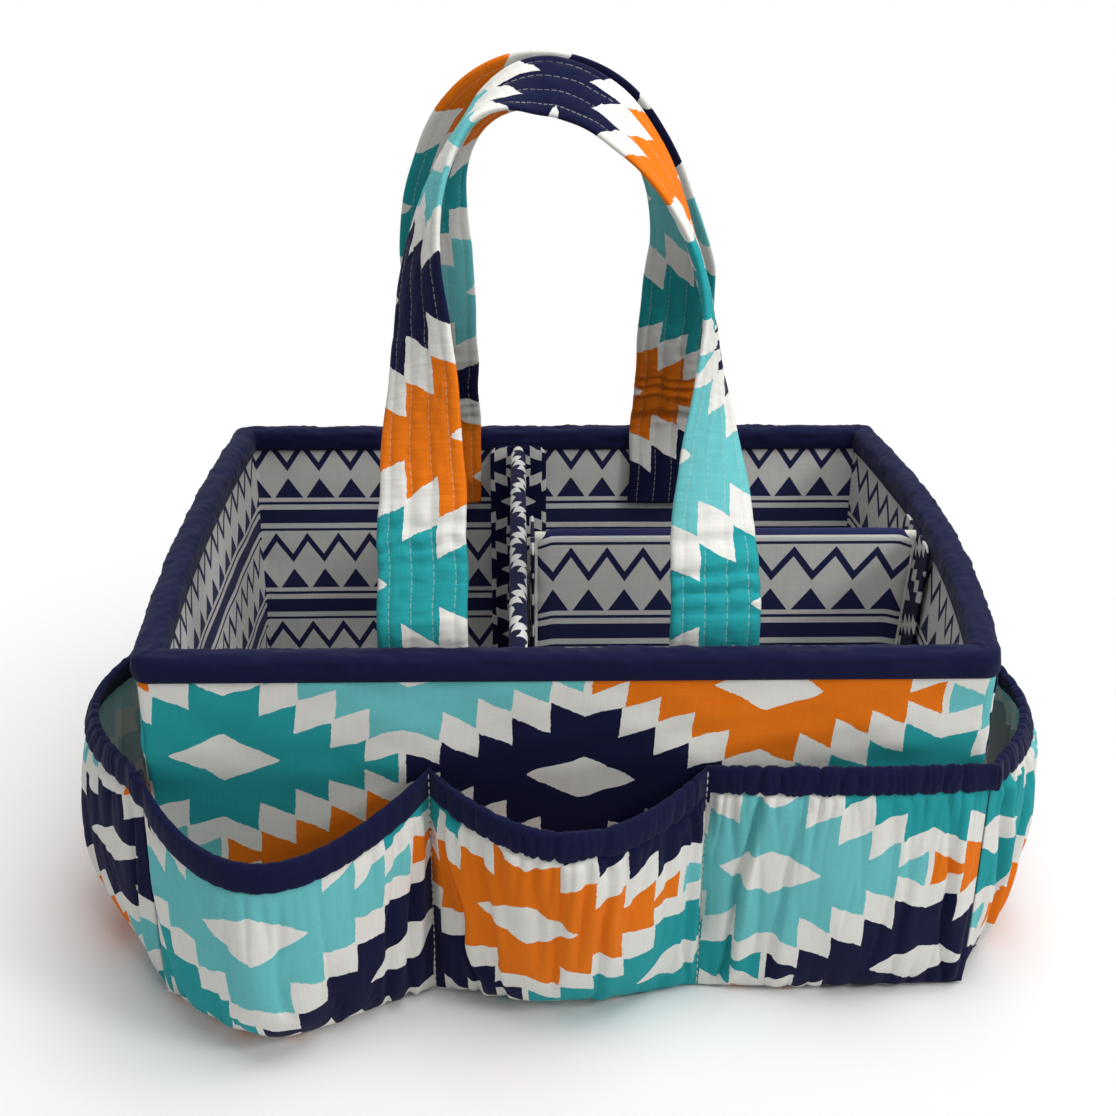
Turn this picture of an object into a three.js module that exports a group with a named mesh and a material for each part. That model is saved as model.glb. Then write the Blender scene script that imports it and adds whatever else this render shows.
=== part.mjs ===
// Soft diaper caddy: a padded open box with gathered outside pockets, two strap handles and lift-out dividers.
// Millimetres, +Z up, the front faces -Y, and the origin is the middle of the underside of the base.
import * as THREE from "three";

// Box
const WIDTH = 340; // over the wall covers, along X
const DEPTH = 264; // over the wall covers, along Y
const HEIGHT = 162; // floor to the top of the rim binding
const CLOTH = 0.9; // cotton of the covers and linings
const WALL_FOAM = 6;
const BASE_BOARD = 3;
const GAP = 0.3; // clearance between two sewn layers
const LEFT_BOW = 5; // how far the left rim bows out
const RIGHT_BOW = 11; // the long divider pushes the right rim out further

// Rim binding
const RIM_TAPE = 1.4;
const RIM_DROP = 11; // down each face of the wall
const RIM_ROUND = 3; // height of the rounded top

// Gathered pockets
const POCKET_CLOTH = 1.2;
const POCKET_TAPE = 1; // one leg of the casing at the mouth
const TAPE_HEIGHT = 12;
const CLOTH_TUCK = 3.5; // pocket cloth held inside the casing
const ELASTIC_WIDTH = 5.5;
const MOUTH_HEIGHT = 112; // top of the casing at the seams
const CORNER_INSET = 1.6; // pocket seam to the corner of the box
const TOE_HEIGHT = 1.6; // height of the pocket's bottom seam
const TOE_RISE = 1.5; // rise of the control point that fills the toe
const FULLNESS_POWER = 0.9; // below 1 the pocket leaves its seams more steeply
const MIDDLE_SHARE = 0.5; // share of the width at which a pocket is fullest
const FRONT_LEFT_SHARE = 0.45;

// How far each pocket is pulled off the wall at its toe, belly and lip, the height at which its belly pulls, and
// how far its mouth sags between the seams
const FRONT_LEFT_TOE = 54;
const FRONT_LEFT_BELLY = 56;
const FRONT_LEFT_BELLY_HEIGHT = 26;
const FRONT_LEFT_LIP = 44;
const FRONT_LEFT_SAG = 16;
const FRONT_MIDDLE_TOE = 18;
const FRONT_MIDDLE_BELLY = 44;
const FRONT_MIDDLE_BELLY_HEIGHT = 30;
const FRONT_MIDDLE_LIP = 36;
const FRONT_MIDDLE_SAG = 8;
const FRONT_RIGHT_TOE = 6;
const FRONT_RIGHT_BELLY = 20;
const FRONT_RIGHT_BELLY_HEIGHT = 32;
const FRONT_RIGHT_LIP = 11;
const FRONT_RIGHT_SAG = -5; // drawn up, not sagging
const RIGHT_FRONT_TOE = 22;
const RIGHT_FRONT_BELLY = 58;
const RIGHT_FRONT_LIP = 30;
const RIGHT_REAR_TOE = 16;
const RIGHT_REAR_BELLY = 46;
const RIGHT_REAR_LIP = 26;
const RIGHT_BELLY_HEIGHT = 30;
const RIGHT_SAG = 5;
const BACK_TOE = 12;
const BACK_BELLY = 34;
const BACK_BELLY_HEIGHT = 30;
const BACK_LIP = 22;
const BACK_SAG = 4;
const LEFT_REAR_TOE = 20;
const LEFT_REAR_BELLY = 54;
const LEFT_REAR_BELLY_HEIGHT = 20;
const LEFT_REAR_LIP = 30;
const LEFT_REAR_SAG = 4;
const LEFT_FRONT_TOE = 26;
const LEFT_FRONT_BELLY = 66;
const LEFT_FRONT_BELLY_HEIGHT = 16;
const LEFT_FRONT_LIP = 34;
const LEFT_FRONT_SAG = 2;

// Handles
const STRAP_WIDTH = 36;
const STRAP_CLOTH = 1;
const BATTING = 1.8;
const STRAP_FOLD = 0.4; // slit where the folded strap cover meets itself
const HANDLE_SPREAD = 116; // between the middles of the two legs
const LEG_RUN = 118; // straight part of a leg above the hinge
const ARCH_RISE = 100; // height of the arch above the legs
const ARCH_SHIFT = 10; // both arches slump to the left by this much at the top
const HINGE_RISE = 6; // fold line above the rim
const SEWN_LENGTH = 40; // strap sewn below the rim
const HANDLES_APART = 0.8; // between the two handles where they lean together
const FOLD_ROOM = 0.8; // below the fold, so that the strap clears its sewn end when it swings right out

// Twist of each strap from facing straight out, at its two shoulders and its top, as seen from its own side, and the
// shares of its length at which the shoulders lie and up to which a leg stays flat
const FRONT_LEFT_DEGREES = 76;
const FRONT_TOP_DEGREES = 30;
const FRONT_RIGHT_DEGREES = 82;
const FRONT_LEFT_SHOULDER_SHARE = 0.41;
const FRONT_RIGHT_SHOULDER_SHARE = 0.72;
const FRONT_FLAT_SHARE = 0;
const BACK_LEFT_DEGREES = 50;
const BACK_TOP_DEGREES = 10;
const BACK_RIGHT_DEGREES = 40;
const BACK_LEFT_SHOULDER_SHARE = 0.33;
const BACK_RIGHT_SHOULDER_SHARE = 0.64;
const BACK_FLAT_SHARE = 0.1;

// Dividers
const DIVIDER_FOAM = 5.5;
const DIVIDER_DROP = 7; // top edge below the rim
const CROSS_X = -20; // middle of the cross divider
const LONG_Y = 6; // middle of the long divider
const TAB = 1.5; // thickness of a hook tab and of a loop strip
const CROSS_TAB_WIDTH = 30;
const LONG_TAB_WIDTH = 48;
const TAB_HEIGHT = 140;
const LOOP_WIDTH = 24;
const LOOP_HEIGHT = 126; // ends below the rim binding
const TAB_FOOT = 8; // tab to the foot of the divider

// Facets
const POCKET_STEPS = 12;
const PROFILE_STEPS = 7;
const LEG_STEPS = 8;
const ARCH_STEPS = 20;
const END_STEPS = 2;
const LEAN_STEPS = 30;
const BOW_STEPS = 8;
const RISE_STEPS = 4;

// Derived sizes
const WALL = CLOTH + GAP + WALL_FOAM + GAP + CLOTH;
const WALL_FOOT = CLOTH + GAP;
const WALL_TOP = HEIGHT - RIM_TAPE - GAP;
const FLOOR = WALL_FOOT + BASE_BOARD + GAP + CLOTH;
const RIM_REACH = WALL / 2 + GAP + RIM_TAPE; // rim binding, from the middle of the wall
const STRAP = 2 * STRAP_CLOTH + 2 * GAP + BATTING;
const HINGE_Y = DEPTH / 2 - WALL / 2 - RIM_REACH - GAP - STRAP / 2;
const HINGE_Z = HEIGHT + HINGE_RISE;
const ARCH_TOP = LEG_RUN + ARCH_RISE;
const DIVIDER = DIVIDER_FOAM + 2 * (GAP + CLOTH);
const DIVIDER_FOOT = FLOOR + GAP;
const DIVIDER_HEIGHT = HEIGHT - DIVIDER_DROP - DIVIDER_FOOT;
const POCKET_LIFT = POCKET_TAPE + GAP; // the casing's inner leg holds the mouth off the wall

// Each side is drawn facing -Y and then turned: u runs to the right as seen from outside.
const SIDES = {
  front: { turn: 0, span: WIDTH, reach: DEPTH / 2, bow: 0, butts: false },
  right: { turn: 1, span: DEPTH, reach: WIDTH / 2, bow: RIGHT_BOW, butts: true },
  back: { turn: 2, span: WIDTH, reach: DEPTH / 2, bow: 0, butts: false },
  left: { turn: 3, span: DEPTH, reach: WIDTH / 2, bow: LEFT_BOW, butts: true },
};

// Sizes of one pocket, named
function pocket(name, toe, belly, height, lip, sag, peak = MIDDLE_SHARE) {
  return { name, toe, belly, height, lip, sag, peak };
}

const FRONT_LEFT = pocket(
  "front_pocket_left",
  FRONT_LEFT_TOE,
  FRONT_LEFT_BELLY,
  FRONT_LEFT_BELLY_HEIGHT,
  FRONT_LEFT_LIP,
  FRONT_LEFT_SAG,
  FRONT_LEFT_SHARE,
);
const FRONT_MIDDLE = pocket(
  "front_pocket_middle",
  FRONT_MIDDLE_TOE,
  FRONT_MIDDLE_BELLY,
  FRONT_MIDDLE_BELLY_HEIGHT,
  FRONT_MIDDLE_LIP,
  FRONT_MIDDLE_SAG,
);
const FRONT_RIGHT = pocket(
  "front_pocket_right",
  FRONT_RIGHT_TOE,
  FRONT_RIGHT_BELLY,
  FRONT_RIGHT_BELLY_HEIGHT,
  FRONT_RIGHT_LIP,
  FRONT_RIGHT_SAG,
);
const RIGHT_FRONT = pocket(
  "right_pocket_front",
  RIGHT_FRONT_TOE,
  RIGHT_FRONT_BELLY,
  RIGHT_BELLY_HEIGHT,
  RIGHT_FRONT_LIP,
  RIGHT_SAG,
);
const RIGHT_REAR = pocket(
  "right_pocket_rear",
  RIGHT_REAR_TOE,
  RIGHT_REAR_BELLY,
  RIGHT_BELLY_HEIGHT,
  RIGHT_REAR_LIP,
  RIGHT_SAG,
);
const LEFT_REAR = pocket(
  "left_pocket_rear",
  LEFT_REAR_TOE,
  LEFT_REAR_BELLY,
  LEFT_REAR_BELLY_HEIGHT,
  LEFT_REAR_LIP,
  LEFT_REAR_SAG,
);
const LEFT_FRONT = pocket(
  "left_pocket_front",
  LEFT_FRONT_TOE,
  LEFT_FRONT_BELLY,
  LEFT_FRONT_BELLY_HEIGHT,
  LEFT_FRONT_LIP,
  LEFT_FRONT_SAG,
);
const backPocket = (name) => pocket(name, BACK_TOE, BACK_BELLY, BACK_BELLY_HEIGHT, BACK_LIP, BACK_SAG);

// Pockets of each side, from left to right as seen from outside
const POCKETS = {
  front: [FRONT_LEFT, FRONT_MIDDLE, FRONT_RIGHT],
  right: [RIGHT_FRONT, RIGHT_REAR],
  back: ["back_pocket_left", "back_pocket_middle", "back_pocket_right"].map(backPocket),
  left: [LEFT_REAR, LEFT_FRONT],
};

const FRONT_TWIST = {
  degrees: [0, FRONT_LEFT_DEGREES, FRONT_TOP_DEGREES, FRONT_RIGHT_DEGREES, 0],
  shares: [FRONT_FLAT_SHARE, FRONT_LEFT_SHOULDER_SHARE, 0.5, FRONT_RIGHT_SHOULDER_SHARE, 1 - FRONT_FLAT_SHARE],
};
const BACK_TWIST = {
  degrees: [0, BACK_LEFT_DEGREES, BACK_TOP_DEGREES, BACK_RIGHT_DEGREES, 0],
  shares: [BACK_FLAT_SHARE, BACK_LEFT_SHOULDER_SHARE, 0.5, BACK_RIGHT_SHOULDER_SHARE, 1 - BACK_FLAT_SHARE],
};
const TOP_OF_STRAP = 2; // place of the top in those lists

const MATERIALS = {
  printed_cotton: new THREE.MeshStandardMaterial({ color: 0x7cc4c4, roughness: 0.9, metalness: 0 }),
  lining_cotton: new THREE.MeshStandardMaterial({ color: 0x5a6684, roughness: 0.9, metalness: 0 }),
  navy_tape: new THREE.MeshStandardMaterial({ color: 0x1f2a47, roughness: 0.85, metalness: 0 }),
  foam: new THREE.MeshStandardMaterial({ color: 0xe9e6dc, roughness: 0.95, metalness: 0 }),
  board: new THREE.MeshStandardMaterial({ color: 0xb9a88c, roughness: 0.8, metalness: 0 }),
  elastic: new THREE.MeshStandardMaterial({ color: 0xf0efec, roughness: 0.8, metalness: 0 }),
  hook_and_loop: new THREE.MeshStandardMaterial({ color: 0xe4e4e2, roughness: 0.95, metalness: 0 }),
};

function piece(parent, name, geometry, material) {
  const mesh = new THREE.Mesh(geometry, MATERIALS[material]);
  mesh.name = name;
  parent.add(mesh);
  return mesh;
}

// Closed skin from a list of points and triangles, turned to face outward.
function skin(points, triangles) {
  const volume = triangles.reduce((sum, [a, b, c]) => {
    const normal = new THREE.Vector3().crossVectors(points[b], points[c]);
    return sum + points[a].dot(normal);
  }, 0);
  const faces = volume > 0 ? triangles : triangles.map(([a, b, c]) => [a, c, b]);
  const geometry = new THREE.BufferGeometry().setFromPoints(points);
  geometry.setIndex(faces.flat());
  geometry.computeVertexNormals();
  return geometry;
}

// Skin over rings of points that share one section. A loop joins its last ring to the first; otherwise both ends
// are capped. The diagonal of each facet follows the section, so nested sections twist alike.
function loft(rings, section, loop = false) {
  const count = section.length;
  const triangles = [];
  const last = loop ? rings.length : rings.length - 1;
  for (let i = 0; i < last; i++) {
    const near = i * count;
    const far = ((i + 1) % rings.length) * count;
    for (let k = 0; k < count; k++) {
      const next = (k + 1) % count;
      const step = new THREE.Vector2().subVectors(section[next], section[k]);
      if ((step.x || step.y) > 0) {
        triangles.push([near + k, near + next, far + next], [near + k, far + next, far + k]);
      } else {
        triangles.push([near + k, near + next, far + k], [near + next, far + next, far + k]);
      }
    }
  }
  if (!loop) {
    const cap = THREE.ShapeUtils.triangulateShape(section, []);
    const end = (rings.length - 1) * count;
    const turned = THREE.ShapeUtils.isClockWise(section);
    for (const [a, b, c] of cap) {
      triangles.push(turned ? [a, b, c] : [a, c, b]);
      triangles.push(turned ? [end + a, end + c, end + b] : [end + a, end + b, end + c]);
    }
  }
  return skin(rings.flat(), triangles);
}

// Sheet with thickness: a grid of points on its inner face, another on its outer face, and the four edges between.
function sheet(columns, rows, at) {
  const points = [];
  for (const outer of [false, true]) {
    for (let i = 0; i <= columns; i++) {
      for (let j = 0; j <= rows; j++) {
        points.push(at(i / columns, j / rows, outer));
      }
    }
  }
  const half = points.length / 2;
  const index = (i, j, outer) => (outer ? half : 0) + i * (rows + 1) + j;
  const triangles = [];
  const quad = (a, b, c, d) => triangles.push([a, b, c], [a, c, d]);
  for (let i = 0; i < columns; i++) {
    for (let j = 0; j < rows; j++) {
      quad(index(i, j, true), index(i + 1, j, true), index(i + 1, j + 1, true), index(i, j + 1, true));
      triangles.push([index(i, j, false), index(i + 1, j + 1, false), index(i + 1, j, false)]);
      triangles.push([index(i, j, false), index(i, j + 1, false), index(i + 1, j + 1, false)]);
    }
    quad(index(i, 0, false), index(i + 1, 0, false), index(i + 1, 0, true), index(i, 0, true));
    quad(index(i, rows, true), index(i + 1, rows, true), index(i + 1, rows, false), index(i, rows, false));
  }
  for (let j = 0; j < rows; j++) {
    quad(index(0, j, true), index(0, j + 1, true), index(0, j + 1, false), index(0, j, false));
    quad(index(columns, j, false), index(columns, j + 1, false), index(columns, j + 1, true), index(columns, j, true));
  }
  return skin(points, triangles);
}

// Outward bow of a side at u along it and height z: none at the corners and at the floor.
function bowAt(side, u, z) {
  const along = u / (side.span / 2 - WALL);
  return (side.bow * Math.max(0, 1 - along * along) * Math.max(z, 0)) / HEIGHT;
}

// Places along a side where its bow is drawn, between the piece's own two ends.
function bowStations(side, end) {
  if (!side.bow) {
    return [-end, end];
  }
  const inner = Array.from({ length: BOW_STEPS - 1 }, (_, i) => (2 * (i + 1)) / BOW_STEPS - 1);
  return [-end, ...inner.map((share) => share * (side.span / 2 - WALL)), end];
}

// Panel between two depths behind the outer face of a side, bowed with it.
function wallPanel(side, stations, near, far, foot, top) {
  const columns = stations.length - 1;
  const rows = side.bow ? RISE_STEPS : 1;
  return sheet(columns, rows, (s, t, outer) => {
    const u = stations[Math.round(s * columns)];
    const z = foot + (top - foot) * t;
    return new THREE.Vector3(u, (outer ? near : far) - side.reach - bowAt(side, u, z), z);
  });
}

// One layer of a wall. The left and right layers butt between the front and back ones.
function wallLayer(side, near, thickness) {
  const inset = side.butts ? near + thickness + GAP : near;
  const stations = bowStations(side, side.span / 2 - inset);
  return wallPanel(side, stations, near, near + thickness, WALL_FOOT, WALL_TOP);
}

// Section of the rim binding: x is outward from the middle of the wall, y is up from the rim.
function rimSection() {
  const inner = WALL / 2 + GAP;
  const shoulder = new THREE.QuadraticBezierCurve(
    new THREE.Vector2(RIM_REACH, -RIM_ROUND),
    new THREE.Vector2(RIM_REACH, 0),
    new THREE.Vector2(RIM_REACH - RIM_ROUND, 0),
  );
  const right = shoulder.getPoints(2);
  const left = right.map((p) => new THREE.Vector2(-p.x, p.y)).reverse();
  return [
    new THREE.Vector2(inner, -RIM_DROP),
    new THREE.Vector2(RIM_REACH, -RIM_DROP),
    ...right,
    ...left,
    new THREE.Vector2(-RIM_REACH, -RIM_DROP),
    new THREE.Vector2(-inner, -RIM_DROP),
    new THREE.Vector2(-inner, -RIM_TAPE),
    new THREE.Vector2(inner, -RIM_TAPE),
  ];
}

function turned(point, side) {
  return point.applyAxisAngle(new THREE.Vector3(0, 0, 1), (side.turn * Math.PI) / 2);
}

// The binding runs once round the rim, mitred at the corners.
function rimBinding() {
  const section = rimSection();
  const rings = [];
  for (const side of Object.values(SIDES)) {
    const stations = bowStations(side, side.span / 2 - WALL / 2);
    stations.slice(0, -1).forEach((u, i) => {
      const ring = section.map((p) => {
        const along = i === 0 ? u - p.x : u;
        const z = HEIGHT + p.y;
        const bow = i === 0 ? 0 : bowAt(side, along, z);
        return turned(new THREE.Vector3(along, -(side.reach - WALL / 2 + p.x + bow), z), side);
      });
      rings.push(ring);
    });
  }
  return loft(rings, section, true);
}

// Seams that divide one side into equal pocket cells.
function cellSeams(side, count) {
  const width = side.span - 2 * CORNER_INSET;
  const seam = (i) => -width / 2 + (width * i) / count;
  return Array.from({ length: count }, (_, i) => ({ from: seam(i) + GAP, to: seam(i + 1) - GAP }));
}

// Point of a pocket at s across it and v up its cloth, or past the cloth by a climb up the casing, offset outward.
function pocketPoint(side, pocket, cell, s, v, climb, offset) {
  const skew = Math.log(0.5) / Math.log(pocket.peak);
  const fullness = Math.max(Math.sin(Math.PI * s ** skew), 0) ** FULLNESS_POWER;
  const top = MOUTH_HEIGHT - TAPE_HEIGHT - pocket.sag * fullness;
  const curve = new THREE.CubicBezierCurve(
    new THREE.Vector2(GAP, TOE_HEIGHT),
    new THREE.Vector2(GAP + pocket.toe * fullness, TOE_HEIGHT + TOE_RISE),
    new THREE.Vector2(GAP + POCKET_LIFT + pocket.belly * fullness, pocket.height),
    new THREE.Vector2(GAP + POCKET_LIFT + pocket.lip * fullness, top),
  );
  const place = curve.getPoint(v);
  const along = curve.getTangent(v);
  place.addScaledVector(along, climb);
  place.add(new THREE.Vector2(along.y, -along.x).multiplyScalar(offset));
  const u = cell.from + (cell.to - cell.from) * s;
  return new THREE.Vector3(u, -(side.reach + place.x + bowAt(side, u, place.y)), place.y);
}

function pocketCloth(side, pocket, cell) {
  const clothRows = PROFILE_STEPS - 1;
  return sheet(POCKET_STEPS, PROFILE_STEPS, (s, t, outer) => {
    const row = Math.round(t * PROFILE_STEPS);
    const v = Math.min(row / clothRows, 1);
    const climb = row > clothRows ? CLOTH_TUCK : 0;
    return pocketPoint(side, pocket, cell, s, v, climb, outer ? POCKET_CLOTH : 0);
  });
}

// Band along all the mouths of one side. The section's x is the offset outward and its y the climb up the casing.
function mouthBand(side, pockets, cells, section) {
  const rings = [];
  pockets.forEach((pocket, n) => {
    for (let i = 0; i <= POCKET_STEPS; i++) {
      const s = i / POCKET_STEPS;
      rings.push(section.map((p) => pocketPoint(side, pocket, cells[n], s, 1, p.y, p.x)));
    }
  });
  return loft(rings, section);
}

function rectangle(left, bottom, right, top) {
  return [
    new THREE.Vector2(left, bottom),
    new THREE.Vector2(right, bottom),
    new THREE.Vector2(right, top),
    new THREE.Vector2(left, top),
  ];
}

// Casing folded over the pocket's edge, open downward.
function casingSection() {
  const inside = -GAP;
  const outside = POCKET_CLOTH + GAP;
  return [
    new THREE.Vector2(outside, 0),
    new THREE.Vector2(outside + POCKET_TAPE, 0),
    new THREE.Vector2(outside + POCKET_TAPE, TAPE_HEIGHT),
    new THREE.Vector2(inside - POCKET_TAPE, TAPE_HEIGHT),
    new THREE.Vector2(inside - POCKET_TAPE, 0),
    new THREE.Vector2(inside, 0),
    new THREE.Vector2(inside, TAPE_HEIGHT - POCKET_TAPE),
    new THREE.Vector2(outside, TAPE_HEIGHT - POCKET_TAPE),
  ];
}

function elasticSection() {
  const foot = CLOTH_TUCK + GAP;
  return rectangle(0, foot, POCKET_CLOTH, foot + ELASTIC_WIDTH);
}

// Twist at a share q of the strap's length, eased from leg to shoulder, top, shoulder and leg.
function twistAt(twist, q) {
  const { shares, degrees } = twist;
  const start = THREE.MathUtils.clamp(shares.filter((share) => share <= q).length - 1, 0, shares.length - 2);
  const ease = THREE.MathUtils.smoothstep(q, shares[start], shares[start + 1]);
  return THREE.MathUtils.degToRad(THREE.MathUtils.lerp(degrees[start], degrees[start + 1], ease));
}

// Middle line of a strap in its own upright plane: leg, half-ellipse arch, leg.
function strapStations(shift) {
  const half = HANDLE_SPREAD / 2;
  const stations = [];
  for (let i = 0; i < LEG_STEPS; i++) {
    stations.push(new THREE.Vector3(-half, 0, (LEG_RUN * i) / LEG_STEPS));
  }
  for (let i = 0; i <= ARCH_STEPS; i++) {
    const angle = Math.PI * (1 - i / ARCH_STEPS);
    const x = half * Math.cos(angle) + shift * Math.sin(angle);
    stations.push(new THREE.Vector3(x, 0, LEG_RUN + ARCH_RISE * Math.sin(angle)));
  }
  for (let i = LEG_STEPS - 1; i >= 0; i--) {
    stations.push(new THREE.Vector3(half, 0, (LEG_RUN * i) / LEG_STEPS));
  }
  return stations;
}

// Strap swept along its stations with its face turned by the twist. Its ends can be rounded about the fold line.
function strap(section, twist, shift, roundEnds) {
  const stations = strapStations(shift);
  const length = [0];
  for (let i = 1; i < stations.length; i++) {
    length.push(length[i - 1] + stations[i].distanceTo(stations[i - 1]));
  }
  const outward = new THREE.Vector3(0, -1, 0);
  const ringAt = (i, drop, thinning) => {
    const before = stations[Math.max(i - 1, 0)];
    const after = stations[Math.min(i + 1, stations.length - 1)];
    const along = new THREE.Vector3().subVectors(after, before).normalize();
    const away = new THREE.Vector3().crossVectors(along, outward);
    const angle = twistAt(twist, length[i] / length[length.length - 1]);
    const face = outward.clone().multiplyScalar(Math.cos(angle)).addScaledVector(away, -Math.sin(angle));
    const across = new THREE.Vector3().crossVectors(face, along);
    const middle = stations[i].clone().setZ(stations[i].z - drop);
    return section.map((p) => middle.clone().addScaledVector(across, p.x).addScaledVector(face, p.y * thinning));
  };
  const rings = stations.map((_, i) => ringAt(i, 0, 1));
  if (roundEnds) {
    for (let k = 1; k <= END_STEPS; k++) {
      const angle = ((k / (END_STEPS + 0.5)) * Math.PI) / 2;
      const drop = (STRAP / 2) * Math.sin(angle);
      rings.unshift(ringAt(0, drop, Math.cos(angle)));
      rings.push(ringAt(stations.length - 1, drop, Math.cos(angle)));
    }
  }
  return loft(rings, section);
}

// Strap cover: a strip folded round the batting, with its edges meeting along one side.
function strapCoverSection() {
  const edge = STRAP_WIDTH / 2;
  const face = STRAP / 2;
  const inside = edge - STRAP_CLOTH;
  const hollow = face - STRAP_CLOTH;
  const slit = STRAP_FOLD / 2;
  return [
    new THREE.Vector2(edge, -slit),
    new THREE.Vector2(edge, -face),
    new THREE.Vector2(-edge, -face),
    new THREE.Vector2(-edge, face),
    new THREE.Vector2(edge, face),
    new THREE.Vector2(edge, slit),
    new THREE.Vector2(inside, slit),
    new THREE.Vector2(inside, hollow),
    new THREE.Vector2(-inside, hollow),
    new THREE.Vector2(-inside, -hollow),
    new THREE.Vector2(inside, -hollow),
    new THREE.Vector2(inside, -slit),
  ];
}

function battingSection() {
  const edge = STRAP_WIDTH / 2 - STRAP_CLOTH - GAP;
  return rectangle(-edge, -BATTING / 2, edge, BATTING / 2);
}

// Lean at which the top edge of a handle stops just short of the middle of the caddy, refined step by step because
// the reach of that edge depends on the lean.
function leanFor(twist) {
  const topTwist = THREE.MathUtils.degToRad(twist.degrees[TOP_OF_STRAP]);
  let lean = 0;
  for (let i = 0; i < LEAN_STEPS; i++) {
    const tilt = lean + topTwist;
    const reach = (STRAP_WIDTH / 2) * Math.sin(tilt) + (STRAP / 2) * Math.cos(tilt);
    lean = Math.asin((HINGE_Y - HANDLES_APART / 2 - reach) / ARCH_TOP);
  }
  return lean;
}

// Upright board section with a rounded top, standing on y = 0.
function domed(width, height) {
  const radius = width / 2;
  const shape = new THREE.Shape();
  shape.moveTo(-radius, 0);
  shape.lineTo(radius, 0);
  shape.lineTo(radius, height - radius);
  shape.absarc(0, height - radius, radius, 0, Math.PI, false);
  return shape;
}

// Cover folded over the top of a core, open at the foot.
function foldedCover(width, height) {
  const radius = width / 2;
  const hollow = radius - CLOTH;
  const shape = new THREE.Shape();
  shape.moveTo(radius, 0);
  shape.lineTo(radius, height - radius);
  shape.absarc(0, height - radius, radius, 0, Math.PI, false);
  shape.lineTo(-radius, 0);
  shape.lineTo(-hollow, 0);
  shape.lineTo(-hollow, height - radius);
  shape.absarc(0, height - radius, hollow, Math.PI, 0, true);
  shape.lineTo(hollow, 0);
  return shape;
}

// Section pulled along +Y from 0 to the length, with its own y pointing up.
function pulled(shape, length) {
  const geometry = new THREE.ExtrudeGeometry(shape, { depth: length, bevelEnabled: false, curveSegments: 6 });
  return geometry.rotateX(Math.PI / 2).translate(0, length, 0);
}

const caddy = new THREE.Group();
caddy.name = "diaper_caddy";

// Base
const floorWidth = WIDTH - 2 * WALL - 2 * GAP;
const floorDepth = DEPTH - 2 * WALL - 2 * GAP;
const base = new THREE.Group();
caddy.add(base);
const baseCover = piece(base, "base_cover", new THREE.BoxGeometry(WIDTH, DEPTH, CLOTH), "printed_cotton");
baseCover.position.z = CLOTH / 2;
const baseBoard = piece(base, "base_board", new THREE.BoxGeometry(floorWidth, floorDepth, BASE_BOARD), "board");
baseBoard.position.z = WALL_FOOT + BASE_BOARD / 2;
const baseLining = piece(base, "base_lining", new THREE.BoxGeometry(floorWidth, floorDepth, CLOTH), "lining_cotton");
baseLining.position.z = FLOOR - CLOTH / 2;

// Walls and pockets, one group to a side
const sideGroups = {};
for (const [name, side] of Object.entries(SIDES)) {
  const group = new THREE.Group();
  group.rotation.z = (side.turn * Math.PI) / 2;
  caddy.add(group);
  sideGroups[name] = group;
  const foamDepth = CLOTH + GAP;
  piece(group, `${name}_wall_cover`, wallLayer(side, 0, CLOTH), "printed_cotton");
  piece(group, `${name}_wall_foam`, wallLayer(side, foamDepth, WALL_FOAM), "foam");
  piece(group, `${name}_wall_lining`, wallLayer(side, foamDepth + WALL_FOAM + GAP, CLOTH), "lining_cotton");
  const pockets = POCKETS[name];
  const cells = cellSeams(side, pockets.length);
  pockets.forEach((pocket, n) => {
    piece(group, pocket.name, pocketCloth(side, pocket, cells[n]), "printed_cotton");
  });
  piece(group, `${name}_pocket_binding`, mouthBand(side, pockets, cells, casingSection()), "navy_tape");
  piece(group, `${name}_pocket_elastic`, mouthBand(side, pockets, cells, elasticSection()), "elastic");
}
piece(caddy, "rim_binding", rimBinding(), "navy_tape");

// Handles: each leans in from its fold line and rests beside the other; their ends are sewn inside the wall
const handles = [
  { name: "front", twist: FRONT_TWIST, shift: -ARCH_SHIFT },
  { name: "back", twist: BACK_TWIST, shift: ARCH_SHIFT },
];
for (const { name, twist, shift } of handles) {
  const wall = new THREE.Group();
  wall.rotation.z = (SIDES[name].turn * Math.PI) / 2;
  caddy.add(wall);
  const handle = new THREE.Group();
  handle.position.set(0, -HINGE_Y, HINGE_Z);
  handle.rotation.x = -leanFor(twist);
  wall.add(handle);
  piece(handle, `${name}_handle_cover`, strap(strapCoverSection(), twist, shift, true), "printed_cotton");
  piece(handle, `${name}_handle_batting`, strap(battingSection(), twist, shift, false), "foam");
  const endTop = HINGE_Z - STRAP / 2 - FOLD_ROOM;
  const endFoot = HEIGHT - SEWN_LENGTH;
  for (const [end, sign] of [["left", -1], ["right", 1]]) {
    const tab = new THREE.BoxGeometry(STRAP_WIDTH, STRAP, endTop - endFoot);
    const sewn = piece(wall, `${name}_handle_${end}_end`, tab, "printed_cotton");
    sewn.position.set((sign * HANDLE_SPREAD) / 2, -HINGE_Y, (endTop + endFoot) / 2);
  }
}

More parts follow.
